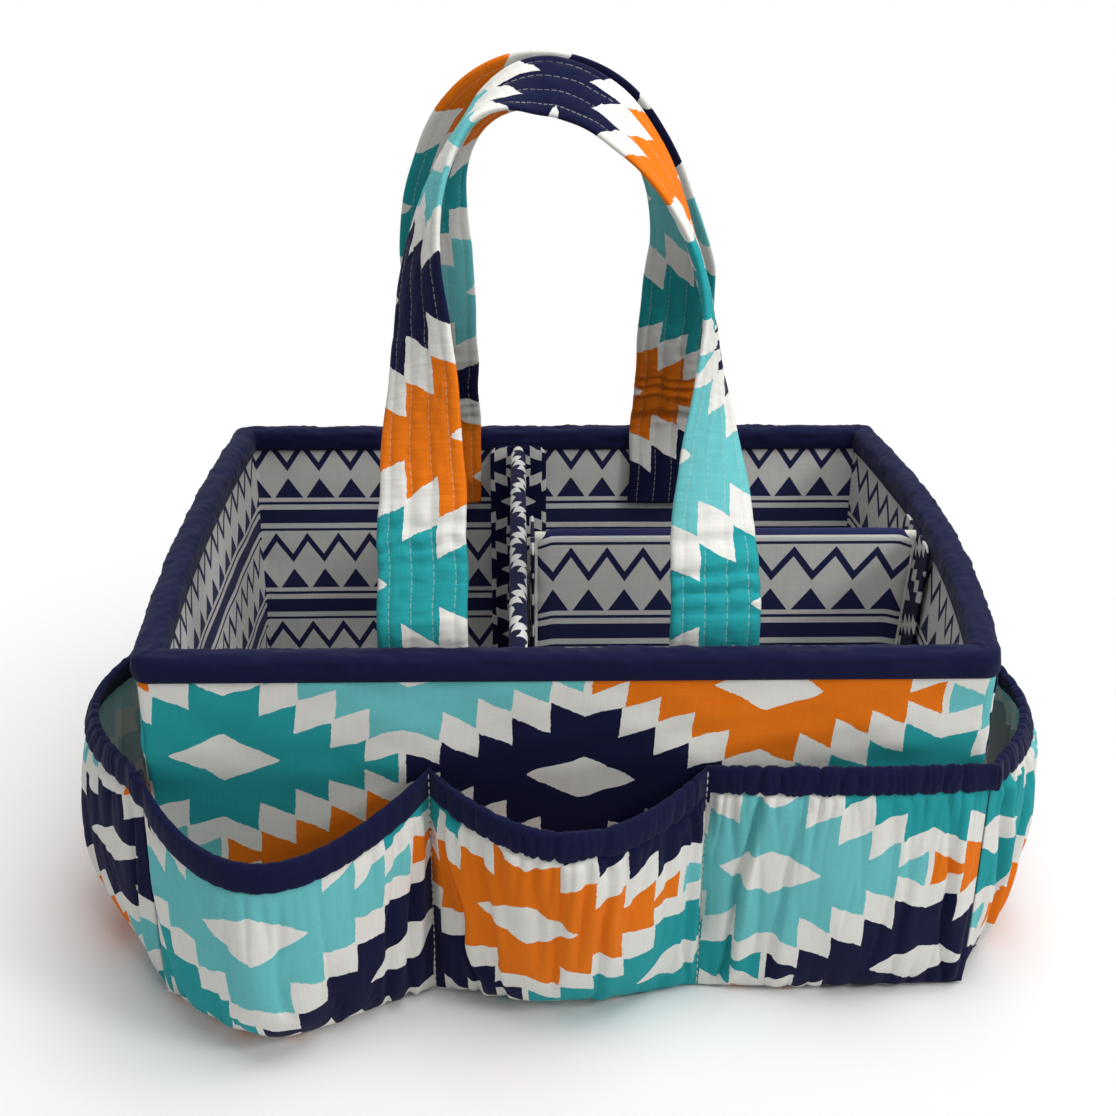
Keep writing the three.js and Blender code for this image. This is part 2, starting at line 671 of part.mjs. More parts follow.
// Loop strips on the linings, and the tabs that press against them
const stripFoot = DIVIDER_FOOT + TAB_FOOT;
const stripTop = stripFoot + LOOP_HEIGHT;
const tabTop = stripFoot + TAB_HEIGHT;
const loopNear = WALL + GAP;
const tabNear = loopNear + TAB + GAP;
const dividerNear = tabNear + TAB + GAP;
const tapes = [
  { side: "front", u: CROSS_X, owner: "cross_divider", end: "front", width: CROSS_TAB_WIDTH },
  { side: "back", u: -CROSS_X, owner: "cross_divider", end: "rear", width: CROSS_TAB_WIDTH },
  { side: "right", u: LONG_Y, owner: "long_divider", end: "right", width: LONG_TAB_WIDTH },
];
for (const { side, u, owner, end, width } of tapes) {
  const group = sideGroups[side];
  const across = (wide) => [u - wide / 2, u, u + wide / 2];
  const loop = wallPanel(SIDES[side], across(LOOP_WIDTH), loopNear, loopNear + TAB, stripFoot, stripTop);
  piece(group, `${side}_loop_strip`, loop, "hook_and_loop");
  const tab = wallPanel(SIDES[side], across(width), tabNear, tabNear + TAB, stripFoot, tabTop);
  piece(group, `${owner}_${end}_tab`, tab, "hook_and_loop");
}

// Cross divider, front to back
const cross = new THREE.Group();
const crossLength = DEPTH - 2 * dividerNear;
cross.position.set(CROSS_X, -crossLength / 2, DIVIDER_FOOT);
caddy.add(cross);
const coreHeight = DIVIDER_HEIGHT - CLOTH - GAP;
piece(cross, "cross_divider_core", pulled(domed(DIVIDER_FOAM, coreHeight), crossLength), "foam");
piece(cross, "cross_divider_cover", pulled(foldedCover(DIVIDER, DIVIDER_HEIGHT), crossLength), "lining_cotton");

// Its right face carries the loop strip for the long divider's left tab
const faceX = CROSS_X + DIVIDER / 2 + GAP;
const tabX = faceX + TAB + GAP;
const longX = tabX + TAB + GAP;
const faceLoop = new THREE.BoxGeometry(TAB, LOOP_WIDTH, LOOP_HEIGHT);
faceLoop.translate(faceX + TAB / 2, LONG_Y, (stripFoot + stripTop) / 2);
piece(caddy, "cross_divider_loop_strip", faceLoop, "hook_and_loop");
const leftTab = new THREE.BoxGeometry(TAB, LONG_TAB_WIDTH, TAB_HEIGHT);
leftTab.translate(tabX + TAB / 2, LONG_Y, (stripFoot + tabTop) / 2);
piece(caddy, "long_divider_left_tab", leftTab, "hook_and_loop");

// Long divider, from the cross divider to the right wall, its right end cut to the bow of that wall
function longBoard(shape) {
  const length = WIDTH / 2 - dividerNear - longX;
  const geometry = pulled(shape, length).rotateZ(-Math.PI / 2).translate(longX, LONG_Y, DIVIDER_FOOT);
  const position = geometry.attributes.position;
  for (let i = 0; i < position.count; i++) {
    const atWall = position.getX(i) > longX + length / 2;
    const bow = atWall ? bowAt(SIDES.right, position.getY(i), position.getZ(i)) : 0;
    position.setX(i, position.getX(i) + bow);
  }
  geometry.computeVertexNormals();
  return geometry;
}
const long = new THREE.Group();
caddy.add(long);
piece(long, "long_divider_core", longBoard(domed(DIVIDER_FOAM, coreHeight)), "foam");
piece(long, "long_divider_cover", longBoard(foldedCover(DIVIDER, DIVIDER_HEIGHT)), "lining_cotton");

export default caddy;
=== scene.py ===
# %% [markdown]
# # A soft diaper caddy
# The caddy is a padded cloth box with gathered pockets all round, two quilted strap handles that lean
# together and lift-out dividers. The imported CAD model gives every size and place; this file dresses it.
# Each step below first says what the piece is on the real thing and then builds it as a surface that numpy
# works out.

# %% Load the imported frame
from functools import partialmethod

import bpy
import numpy as np
from mathutils import Matrix, Vector


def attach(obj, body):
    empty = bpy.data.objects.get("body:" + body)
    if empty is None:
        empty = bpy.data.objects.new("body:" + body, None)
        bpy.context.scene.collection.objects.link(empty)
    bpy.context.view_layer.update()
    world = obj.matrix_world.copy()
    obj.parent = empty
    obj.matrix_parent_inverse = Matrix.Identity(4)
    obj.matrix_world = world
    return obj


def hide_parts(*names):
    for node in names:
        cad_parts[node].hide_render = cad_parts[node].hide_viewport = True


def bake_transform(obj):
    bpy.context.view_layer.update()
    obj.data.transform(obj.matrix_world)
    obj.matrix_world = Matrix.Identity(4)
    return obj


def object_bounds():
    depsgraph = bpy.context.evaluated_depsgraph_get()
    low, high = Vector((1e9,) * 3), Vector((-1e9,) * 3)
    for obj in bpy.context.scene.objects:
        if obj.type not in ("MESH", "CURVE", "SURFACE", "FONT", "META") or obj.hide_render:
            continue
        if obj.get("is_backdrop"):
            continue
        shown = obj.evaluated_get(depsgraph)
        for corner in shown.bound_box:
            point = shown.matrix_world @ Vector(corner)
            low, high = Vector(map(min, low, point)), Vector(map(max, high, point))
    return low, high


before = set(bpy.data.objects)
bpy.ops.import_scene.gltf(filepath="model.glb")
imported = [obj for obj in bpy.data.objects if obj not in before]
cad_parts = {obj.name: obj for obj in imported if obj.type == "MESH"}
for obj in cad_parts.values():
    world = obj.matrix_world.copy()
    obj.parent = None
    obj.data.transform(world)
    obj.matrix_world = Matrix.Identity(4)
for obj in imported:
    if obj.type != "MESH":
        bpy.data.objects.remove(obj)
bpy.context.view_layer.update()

# %% [markdown]
# ## Camera
# A lens and a place fitted to the corners of the box give the photograph's view: a camera a little to the
# left, in front and above, looking down by about 25 degrees. Building the camera's own right, up and back
# directions into a matrix is safer than three turned angles, because each column can be checked by eye.

# %% Camera at the photograph's angle
FRAME_PIXELS = 1116
FOCAL_PIXELS = 1602
SENSOR = 36
PITCH, YAW, ROLL = np.radians([24.66, 1.43, 0.33])
CAMERA_PLACE = (-0.0184, -0.6844, 0.4573)

ahead_level = np.array([np.sin(YAW), np.cos(YAW), 0])
right_level = np.array([np.cos(YAW), -np.sin(YAW), 0])
up_world = np.array([0, 0, 1.0])
ahead = ahead_level * np.cos(PITCH) - up_world * np.sin(PITCH)
upward = ahead_level * np.sin(PITCH) + up_world * np.cos(PITCH)
camera_right = right_level * np.cos(ROLL) + upward * np.sin(ROLL)
camera_up = upward * np.cos(ROLL) - right_level * np.sin(ROLL)

camera_data = bpy.data.cameras.new("camera")
camera_data.sensor_width = SENSOR
camera_data.lens = SENSOR * FOCAL_PIXELS / FRAME_PIXELS
camera = bpy.data.objects.new("camera", camera_data)
bpy.context.scene.collection.objects.link(camera)
turn = Matrix(np.column_stack([camera_right, camera_up, -ahead]).tolist())
camera.matrix_world = Matrix.Translation(CAMERA_PLACE) @ turn.to_4x4()
bpy.context.scene.camera = camera
print("lens", round(camera_data.lens, 2), "mm")

# %% [markdown]
# ## Sizes
# The same sizes as in the CAD model, in millimetres. A mesh is turned into metres when it is made, so the
# formulas below can be read in the units that a maker of bags would use.

# %% Sizes in millimetres
MM = 0.001
WIDTH, DEPTH, HEIGHT = 340.0, 264.0, 162.0
CLOTH, GAP, WALL = 0.9, 0.3, 8.4
WALL_FOOT, WALL_TOP, FLOOR = 1.2, 160.3, 5.4
WALL_STEP, WALL_ROWS = 2.5, 56
RIM_REACH, RIM_DROP, RIM_ROUND, RIM_STEP = 5.9, 11.0, 3.4, 2
MOUTH_HEIGHT, TAPE_HEIGHT, POCKET_CLOTH, POCKET_LIFT = 112.0, 12.0, 1.2, 1.3
TOE_HEIGHT, TOE_RISE, FULLNESS_POWER = 1.6, 1.5, 0.9
STRAP_WIDTH, STRAP, HINGE_Y, HINGE_Z = 36.0, 4.4, 119.4, 168.0
LEG_X, LEG_RUN, ARCH_RISE, ARCH_SHIFT, SEWN_FOOT = 58.0, 118.0, 100.0, 10.0, 122.0

SIDES = {
    "front": dict(turn=0, span=WIDTH, reach=DEPTH / 2, bow=0.0),
    "right": dict(turn=1, span=DEPTH, reach=WIDTH / 2, bow=11.0),
    "back": dict(turn=2, span=WIDTH, reach=DEPTH / 2, bow=0.0),
    "left": dict(turn=3, span=DEPTH, reach=WIDTH / 2, bow=5.0),
}


def smooth(t):
    """Three t squared minus two t cubed, held at 0 and 1 outside: a step that starts and stops gently."""
    t = np.clip(t, 0, 1)
    return t * t * (3 - 2 * t)


def signed_power(value, power):
    """The size of a value to a power, with the value's own sign: it squares off a circle."""
    return np.sign(value) * np.abs(value) ** power


def turned(points, quarter_turns):
    """Points turned about the upright axis by whole quarter turns."""
    c, s = [(1, 0), (0, 1), (-1, 0), (0, -1)][quarter_turns]
    x, y, z = np.moveaxis(points, -1, 0)
    return np.stack([c * x - s * y, s * x + c * y, z], -1)


def bow_at(side, u, z):
    """Outward bow: a parabola along the side, none at the corners, that grows in proportion to the
    height."""
    along = u / (side["span"] / 2 - WALL)
    return side["bow"] * np.clip(1 - along**2, 0, None) * np.clip(z, 0, None) / HEIGHT


def ripples(seed, x, y, shortest, longest, waves=14):
    """Small unevenness of hand-sewn cloth: a sum of sine waves whose lengths, directions and phases come
    from a seed."""
    random = np.random.default_rng(seed)
    number = 2 * np.pi / np.exp(random.uniform(np.log(shortest), np.log(longest), waves))
    angle, phase = random.uniform(0, 2 * np.pi, (2, waves))
    waves_at = np.sin(number * (x[..., None] * np.cos(angle) + y[..., None] * np.sin(angle)) + phase)
    return waves_at.sum(-1) / np.sqrt(waves)


# %% [markdown]
# ## From a grid to a mesh
# Every new piece is a grid of points. Neighbouring points become four-sided faces, and each corner of a
# face carries the place on the cut cloth as a UV in metres, so that weave, print and stitches have their
# real size wherever they are used. Filling the mesh with foreach_set hands Blender whole arrays and stays
# fast.


# %% Grid to mesh
def new_mesh(name, points, polygons, layers, materials):
    """Mesh object from points in millimetres, arrays of polygons of one length each, and named UV layers
    with a place for every corner."""
    mesh = bpy.data.meshes.new(name)
    mesh.vertices.add(len(points))
    mesh.vertices.foreach_set("co", (points * MM).astype(np.float32).ravel())
    lengths = np.concatenate([np.full(len(p), p.shape[1]) for p in polygons])
    mesh.loops.add(int(lengths.sum()))
    mesh.loops.foreach_set("vertex_index", np.concatenate([p.ravel() for p in polygons]).astype(np.int32))
    mesh.polygons.add(len(lengths))
    mesh.polygons.foreach_set("loop_start", np.concatenate([[0], np.cumsum(lengths)[:-1]]).astype(np.int32))
    mesh.polygons.foreach_set("use_smooth", np.ones(len(lengths), bool))
    for label, corner_uv in layers.items():
        layer = mesh.uv_layers.new(name=label)
        layer.uv.foreach_set("vector", (corner_uv * MM).astype(np.float32).ravel())
    mesh.update(calc_edges=True)
    mesh.validate()
    for material in materials:
        mesh.materials.append(material)
    piece = bpy.data.objects.new(name, mesh)
    bpy.context.scene.collection.objects.link(piece)
    return piece


def corners_of(grid):
    """Four corners of every cell of a grid, in order round the cell."""
    return np.stack([grid[:-1, :-1], grid[:-1, 1:], grid[1:, 1:], grid[1:, :-1]], 2)


def sheet_piece(name, points, uv, materials, thickness=0.0, flip=False):
    """Open sheet over a grid of points; Solidify gives it the cloth's thickness on its inner side."""
    index = np.arange(points[..., 0].size).reshape(points.shape[:2])
    quads = corners_of(index).reshape(-1, 4)
    corner_uv = corners_of(uv).reshape(-1, 4, 2)
    if flip:
        quads, corner_uv = quads[:, ::-1], corner_uv[:, ::-1]
    piece = new_mesh(name, points.reshape(-1, 3), [quads], {"Cloth": corner_uv.reshape(-1, 2)}, materials)
    if thickness:
        solid = piece.modifiers.new("cloth thickness", "SOLIDIFY")
        solid.thickness = thickness * MM
        solid.offset = -1
        solid.material_offset = len(materials) - 1
    return piece


def tube_piece(name, rings, uv, materials, loop=False, flip=False):
    """Closed tube: each row of the grid is a ring whose last point joins its first. The rows join into a
    loop, or both ends are capped. The UV has one more column than the rings, so that the pattern doesn't
    tear at the seam. Where a second pattern needs its own UV, uv is a dictionary of layers."""
    rows, columns = rings.shape[:2]
    index = np.arange(rows * columns).reshape(rows, columns)
    index = np.concatenate([index, index[:, :1]], 1)
    if loop:
        index = np.concatenate([index, index[:1]], 0)
    polygons = [corners_of(index).reshape(-1, 4)]
    if not loop:
        polygons += [index[:1, :-1][:, ::-1], index[-1:, :-1]]
    if flip:
        polygons = [p[:, ::-1] for p in polygons]
    layers = {}
    for label, grid in (uv if isinstance(uv, dict) else {"Cloth": uv}).items():
        corner_uv = [corners_of(grid).reshape(-1, 4, 2)]
        if not loop:
            corner_uv += [grid[:1, :-1][:, ::-1], grid[-1:, :-1]]
        layers[label] = np.concatenate([(c[:, ::-1] if flip else c).reshape(-1, 2) for c in corner_uv])
    return new_mesh(name, rings.reshape(-1, 3), polygons, layers, materials)


def outward_normals(points):
    """Unit normals of a grid: the cross product of its two directions of change."""
    normal = np.cross(np.gradient(points, axis=1), np.gradient(points, axis=0))
    return normal / np.maximum(np.linalg.norm(normal, axis=-1, keepdims=True), 1e-9)


def run_length(points, axis):
    """Length along the grid from its first row or column to each point."""
    steps = np.linalg.norm(np.diff(points, axis=axis), axis=-1)
    start = np.zeros_like(np.take(steps, [0], axis=axis))
    return np.concatenate([start, np.cumsum(steps, axis=axis)], axis=axis)


def flat_size(piece, width, length):
    print(f"{piece.name}: cut {width:.0f} by {length:.0f} mm, {len(piece.data.polygons)} faces")
    return width * MM, length * MM


# %% [markdown]
# ## Cotton finishes
# The caddy is sewn from printed quilting cotton, a striped lining cotton and navy bias tape. They share a
# fine plain weave, a few handling creases and pale stitches, so each of those effects is a node group that
# is built once. The small helpers below write Math nodes as if they were sums.


# %% Node helpers
def added(tree, kind, inputs, **settings):
    """A new node with its settings made, and its inputs fed by name or number."""
    node = tree.nodes.new("ShaderNode" + kind)
    for label, value in settings.items():
        setattr(node, label, value)
    for label, value in inputs.items():
        feed(value, node.inputs[label])
    return node


def feed(value, socket):
    """Links a Value to a socket, or sets the socket to a plain number or colour."""
    if isinstance(value, Value):
        value.tree.links.new(value.socket, socket)
    else:
        socket.default_value = value


class Value:
    """A number, vector or colour in a node tree. Sums, products and comparisons of it become Math nodes."""

    def __init__(self, socket):
        self.socket, self.tree = socket, socket.id_data

    def math(self, operation, *others):
        """One Math node on this value and on others, each a Value or a plain number."""
        inputs = dict(enumerate((self, *others)))
        return Value(added(self.tree, "Math", inputs, operation=operation).outputs[0])

    __add__ = partialmethod(math, "ADD")
    __sub__ = partialmethod(math, "SUBTRACT")
    __mul__ = partialmethod(math, "MULTIPLY")
    __truediv__ = partialmethod(math, "DIVIDE")
    __mod__ = partialmethod(math, "FLOORED_MODULO")
    __lt__ = partialmethod(math, "LESS_THAN")
    __gt__ = partialmethod(math, "GREATER_THAN")
    __abs__ = partialmethod(math, "ABSOLUTE")


def mixed(share, first, second):
    """Colour between two colours."""
    return Value(added(share.tree, "Mix", {0: share, 6: first, 7: second}, data_type="RGBA").outputs[2])


def scaled(vector, x, y):
    """A vector with its first two parts multiplied, each by its own number."""
    inputs = {0: vector, 1: (x, y, 1.0)}
    return Value(added(vector.tree, "VectorMath", inputs, operation="MULTIPLY").outputs[0])


def parts_of(vector):
    """First and second part of a vector."""
    node = added(vector.tree, "SeparateXYZ", {0: vector})
    return Value(node.outputs[0]), Value(node.outputs[1])


def noise(vector, scale, detail=2.0, roughness=0.5):
    """Noise from 0 to 1 at a scale."""
    inputs = {"Vector": vector, "Scale": scale, "Detail": detail, "Roughness": roughness}
    return Value(added(vector.tree, "TexNoise", inputs).outputs[0])


def wobble(vector, scale, size, detail=1.0):
    """Noise about zero, from minus half the size to plus half."""
    return noise(vector, scale, detail) * size - size / 2


def new_group(name, inputs, outputs):
    """Empty shader node group; gives it with its inputs as Values and its output sockets, by name."""
    tree = bpy.data.node_groups.new(name, "ShaderNodeTree")
    for label, kind, value in inputs:
        socket = tree.interface.new_socket(label, in_out="INPUT", socket_type="NodeSocket" + kind)
        if value is not None:
            socket.default_value = value
    for label, kind in outputs:
        tree.interface.new_socket(label, in_out="OUTPUT", socket_type="NodeSocket" + kind)
    sockets = tree.nodes.new("NodeGroupInput").outputs
    given = {label: Value(sockets[label]) for label, _, _ in inputs}
    return tree, given, tree.nodes.new("NodeGroupOutput").inputs


def placed(tree, group, **values):
    """The outputs, by name, of a node group that is put in a material with its inputs fed by name."""
    node = added(tree, "Group", values, node_tree=group)
    return {socket.name: Value(socket) for socket in node.outputs}


def srgb(red, green, blue):
    """Colour as seen on a screen, 0 to 255, turned into the linear colour that shaders use."""
    c = np.array([red, green, blue]) / 255
    linear = np.where(c <= 0.04045, c / 12.92, ((c + 0.055) / 1.055) ** 2.4)
    return (*linear.tolist(), 1.0)


# %% [markdown]
# ### Plain weave
# Cotton cloth is warp and weft, about two threads to a millimetre. Two crossed sine waves give the tiny
# bumps, and noise drawn out along each set of threads gives the slubs that make one thread lighter than the
# next. The crossings also lighten the colour a little where the threads rise and darken it where they sink:
# painted shade of the weave's own bumps.

# %% Weave group
SLUB_FINE, SLUB_LONG = 1500, 55

weave, given, wanted = new_group(
    "plain_weave",
    [("Cloth", "Vector", None), ("Threads", "Float", 1900.0), ("Slub", "Float", 0.16)],
    [("Shade", "Float"), ("Height", "Float")],
)
warp, weft = [(part * given["Threads"] * np.pi).math("SINE") for part in parts_of(given["Cloth"])]
slub_warp = noise(scaled(given["Cloth"], SLUB_FINE, SLUB_LONG), 1.0)
slub_weft = noise(scaled(given["Cloth"], SLUB_LONG, SLUB_FINE), 1.0)
slubs = slub_warp + slub_weft - 1.0
crossing = warp * weft
# Shade: the slubs are real thread tone, and crossing * 0.03 is painted shade that follows the weave's height
feed(crossing * 0.03 + (slubs * given["Slub"] + 1.0), wanted["Shade"])
feed(slubs * 0.06 + crossing * 0.05, wanted["Height"])
print("weave group:", len(weave.nodes), "nodes")

# %% [markdown]
# ### Handling creases
# Sewn cloth that has been packed and filled is never quite flat. Two sizes of soft noise give a height in
# millimetres for the bump and a slight change of roughness.

# %% Crease group
creases, given, wanted = new_group(
    "handling_creases",
    [("Cloth", "Vector", None), ("Depth", "Float", 0.25)],
    [("Height", "Float"), ("Rub", "Float")],
)
broad = noise(given["Cloth"], 38, 3.0, 0.55)
fine = noise(scaled(given["Cloth"], 1.0, 0.55), 160, 2.0, 0.6)
feed((fine * 0.35 + broad) * given["Depth"], wanted["Height"])
feed(broad * 0.16 - 0.08, wanted["Rub"])

# %% [markdown]
# ### Serrated diamonds
# The outside cotton carries the old woven-rug motif of serrated diamonds, drawn here by a formula of its
# own. Rows of diamonds 143 mm apart are staggered by half that and by 47 mm up the cloth. The edge of a
# diamond steps down every 14 mm, each step a little less than the one before, and climbs within each step,
# which makes the saw teeth. The pale eye in the middle is a pointed lens. Whether a point lies inside is
# one comparison with that edge, so no picture is needed.

# %% Print group
PRINT_ACROSS, PRINT_UP = 143.0, 46.7
TOOTH, TOOTH_CLIMB, TOOTH_FALL, TOOTH_EASE = 14.1, 5.6, 8.6, 0.5
DIAMOND_HALF_HEIGHT, DIAMOND_HALF_WIDTH = 28.3, 70.0
EYE_HALF_WIDTH, EYE_HALF_HEIGHT, EYE_POWER = 22.0, 10.0, 0.85
BLEED, SWAY_ACROSS, SWAY_UP = 0.9, 3.4, 4.0
INK_NAMES = ("First", "Second", "Third", "Fourth")


def diamond_lattice(x, y, offset_x, offset_y):
    """Mask of one lattice of serrated diamonds, and 0 or 1 by turns from diamond to diamond. Inside is
    where the height over the middle line is less than: half height + climb within the tooth - fall per
    tooth, and the fall is eased in proportion to the number of the tooth."""
    from_x, from_y = x - offset_x, y - offset_y
    column = (from_x * (1 / PRINT_ACROSS) + 0.5).math("FLOOR")
    row = (from_y * (0.5 / PRINT_UP) + 0.5).math("FLOOR")
    out = abs(from_x - column * PRINT_ACROSS)
    over = abs(from_y - row * (2 * PRINT_UP))
    tooth = (out / TOOTH).math("FLOOR")
    climb = out * (TOOTH_CLIMB / TOOTH) + DIAMOND_HALF_HEIGHT
    fall = tooth * TOOTH_EASE - (TOOTH_FALL + TOOTH_CLIMB)
    inside = (over < tooth * fall + climb) * (out < DIAMOND_HALF_WIDTH)
    taper = (out * (-1 / EYE_HALF_WIDTH) + 1.0).math("MAXIMUM", 0.0)
    eye = taper.math("POWER", EYE_POWER) * EYE_HALF_HEIGHT
    return inside * (over > eye), (column + row) % 2.0


diamonds, given, wanted = new_group(
    "serrated_diamonds",
    [("Cloth", "Vector", None)] + [(ink, "Color", None) for ink in (*INK_NAMES, "Ground")],
    [("Color", "Color")],
)
cloth_x, cloth_y = parts_of(scaled(given["Cloth"], 1 / MM, 1 / MM))
bleed = wobble(given["Cloth"], 700, BLEED)
print_x = cloth_x + bleed + wobble(given["Cloth"], 46, SWAY_ACROSS)
print_y = cloth_y + bleed + wobble(scaled(given["Cloth"], 1.3, -1.3), 52, SWAY_UP)
colour = given["Ground"]
for stagger, (first, second) in enumerate((INK_NAMES[:2], INK_NAMES[2:])):
    mask, by_turns = diamond_lattice(print_x, print_y, stagger * PRINT_ACROSS / 2, stagger * PRINT_UP)
    colour = mixed(mask, colour, mixed(by_turns, given[first], given[second]))
feed(colour, wanted["Color"])
print("print group:", len(diamonds.nodes), "nodes")

# %% [markdown]
# ### Striped lining
# The lining is a pale cotton with navy bars, thin lines and rows of small triangles, all running level
# round the box. One repeat is 54 mm high, and each band is a comparison with the height inside the repeat.

# %% Lining stripe group
STRIPE_REPEAT, STRIPE_BARS = 54.0, ((0.0, 8.0), (11.0, 12.6), (49.5, 51.0))
TRIANGLE_PITCH, TRIANGLE_FOOT, TRIANGLE_HEIGHT, TRIANGLE_SLOPE = 17.0, 15.0, 11.5, 1.5
ZIGZAG_FOOT, ZIGZAG_HALF = 33.0, 2.6

stripes, given, wanted = new_group(
    "lining_stripes",
    [("Cloth", "Vector", None), ("Ink", "Color", None), ("Ground", "Color", None)],
    [("Color", "Color")],
)
cloth_x, cloth_y = parts_of(scaled(given["Cloth"], 1 / MM, 1 / MM))
height = cloth_y % STRIPE_REPEAT
slope = abs(cloth_x % TRIANGLE_PITCH - TRIANGLE_PITCH / 2) * TRIANGLE_SLOPE
triangle = (height - TRIANGLE_FOOT + slope < TRIANGLE_HEIGHT) * (height > TRIANGLE_FOOT)
inked = triangle.math("MAXIMUM", abs(height - ZIGZAG_FOOT - slope) < ZIGZAG_HALF)
for low, high in STRIPE_BARS:
    inked = inked.math("MAXIMUM", (height > low) * (height < high))
feed(mixed(inked, given["Ground"], given["Ink"]), wanted["Color"])
print("lining group:", len(stripes.nodes), "nodes")

# %% [markdown]
# ### Rows of stitches
# A machine stitch is a short dash of thread that dips into the cloth at both ends. Rows at an even spacing
# across the cloth, with dashes along it, give a mask for the thread's colour and a height that sinks
# between the dashes.

# %% Stitch group
DASH_HALF, THREAD_HALF = 0.36, 0.22

stitches, given, wanted = new_group(
    "stitch_rows",
    [("Cloth", "Vector", None), ("Spacing", "Float", 8.7), ("Start", "Float", 0.0), ("Length", "Float", 3.1)],
    [("Thread", "Float"), ("Height", "Float")],
)
cloth_x, cloth_y = parts_of(scaled(given["Cloth"], 1 / MM, 1 / MM))
across = cloth_x - given["Start"] + wobble(given["Cloth"], 60, 0.7, 0.0)
off_row = abs((across / given["Spacing"] + 0.5).math("FRACT") - 0.5) * given["Spacing"]
dash = abs((cloth_y / given["Length"]).math("FRACT") - 0.5) < DASH_HALF
thread = dash * (off_row < THREAD_HALF)
sunk = (off_row * -0.6 + 1.0).math("MAXIMUM", 0.0) * -0.3
feed(thread, wanted["Thread"])
feed(thread * 0.25 + sunk, wanted["Height"])

# %% [markdown]
# ### Cotton materials
# All the cottons are the same material with other values: a colour from a print, shaded by the weave, a
# high roughness and a soft sheen. Bump adds weave, creases and stitches together in millimetres. Tape is
# bias-cut, so its weave runs at 45 degrees to its length.

# %% Materials
OFF_WHITE, NAVY = srgb(224, 223, 217), srgb(15, 18, 52)
TURQUOISE, TEAL, ORANGE = srgb(104, 188, 191), srgb(36, 151, 156), srgb(226, 115, 18)
PALE_LINING, THREAD = srgb(206, 206, 202), srgb(214, 210, 198)
INKS = (TURQUOISE, ORANGE, TEAL, NAVY)
FADED = [tuple(0.55 * part + 0.4 for part in ink[:3]) + (1.0,) for ink in INKS]
QUILT_SPACING = 8.7


def uv_place(tree, layer):
    """Place on the cloth, from a named UV layer."""
    return Value(added(tree, "UVMap", {}, uv_map=layer).outputs[0])


def cloth_material(name, roughness=0.88, sheen=0.03, place="UV"):
    """Principled material with cloth-like gloss; returns it with its shader and the place on the cloth."""
    material = bpy.data.materials.new(name)
    material.use_nodes = True
    tree = material.node_tree
    shader = tree.nodes["Principled BSDF"]
    gloss = {"Roughness": roughness, "Specular IOR Level": 0.12}
    gloss |= {"Sheen Weight": sheen, "Sheen Roughness": 0.45}
    for label, value in gloss.items():
        feed(value, shader.inputs[label])
    if place == "UV":
        return material, shader, uv_place(tree, "Cloth")
    return material, shader, Value(added(tree, "TexCoord", {}).outputs[place])


def finish_cloth(shader, cloth, colour, depth, threads=1900.0, slub=0.16, extra=None, weave_place=None):
    """Weave and creases over a colour: shaded base colour, uneven roughness and a bump in millimetres."""
    tree = shader.id_data
    woven = placed(tree, weave, Cloth=weave_place or cloth, Threads=threads, Slub=slub)
    creased = placed(tree, creases, Cloth=cloth, Depth=depth)
    shaded = added(tree, "VectorMath", {0: colour, "Scale": woven["Shade"]}, operation="SCALE")
    feed(Value(shaded.outputs[0]), shader.inputs["Base Color"])
    feed(creased["Rub"] + shader.inputs["Roughness"].default_value, shader.inputs["Roughness"])
    height = woven["Height"] + creased["Height"]
    if extra is not None:
        height = height + extra
    bump = added(tree, "Bump", {"Strength": 0.7, "Distance": MM, "Height": height})
    feed(Value(bump.outputs[0]), shader.inputs["Normal"])


def printed_cotton(name, inks, ground=OFF_WHITE, depth=0.5, stitched=False, smaller=1.0):
    """Serrated diamonds on cotton, with pale quilting stitches where the cloth is quilted. The print can be
    smaller."""
    material, shader, cloth = cloth_material(name)
    tree = material.node_tree
    print_place = scaled(cloth, smaller, smaller)
    colour = placed(tree, diamonds, Cloth=print_place, Ground=ground, **dict(zip(INK_NAMES, inks)))["Color"]
    sunk = None
    if stitched:
        seam = uv_place(tree, "Seam")
        rows = placed(tree, stitches, Cloth=seam, Spacing=QUILT_SPACING, Start=QUILT_SPACING / 2)
        colour = mixed(rows["Thread"] * 0.3, colour, THREAD)
        sunk = noise(scaled(seam, 70, 330), 1.0, 1.0) * 0.7 + rows["Height"]
    finish_cloth(shader, cloth, colour, depth, extra=sunk)
    return material


def plain_cotton(name, colour, depth=0.5, threads=1900.0, bias=False, roughness=0.88, sheen=0.06, place="UV"):
    """One dyed colour: a noise between two close tones keeps it from being flat."""
    material, shader, cloth = cloth_material(name, roughness, sheen, place)
    darker, lighter = [tuple(min(tone * part, 1) for part in colour[:3]) + (1.0,) for tone in (0.82, 1.1)]
    tone = mixed(noise(cloth, 30, 3.0), darker, lighter)
    weave_place = None
    if bias:
        mapping = added(material.node_tree, "Mapping", {"Vector": cloth, "Rotation": (0, 0, np.pi / 4)})
        weave_place = Value(mapping.outputs[0])
    finish_cloth(shader, cloth, tone, depth, threads, 0.22, weave_place=weave_place)
    return material


outer_cotton = printed_cotton("outer_cotton", INKS)
strap_cotton = printed_cotton("strap_cotton", INKS, depth=0.35, stitched=True)
pocket_inside = printed_cotton("pocket_inside", FADED)
divider_cotton = printed_cotton("divider_cotton", (NAVY, NAVY, NAVY, NAVY), PALE_LINING, smaller=2.3)
binding_navy = plain_cotton("binding_navy", srgb(16, 19, 54), 0.4, bias=True, sheen=0.05)
tab_white = plain_cotton("tab_white", srgb(224, 223, 219), 0.2, 1200.0, roughness=0.92, sheen=0.2)
elastic_white = plain_cotton("elastic_white", srgb(236, 234, 228), threads=1100.0, roughness=0.8)
thread_pale = plain_cotton("thread_pale", THREAD, 0.05, 2600.0, roughness=0.7)

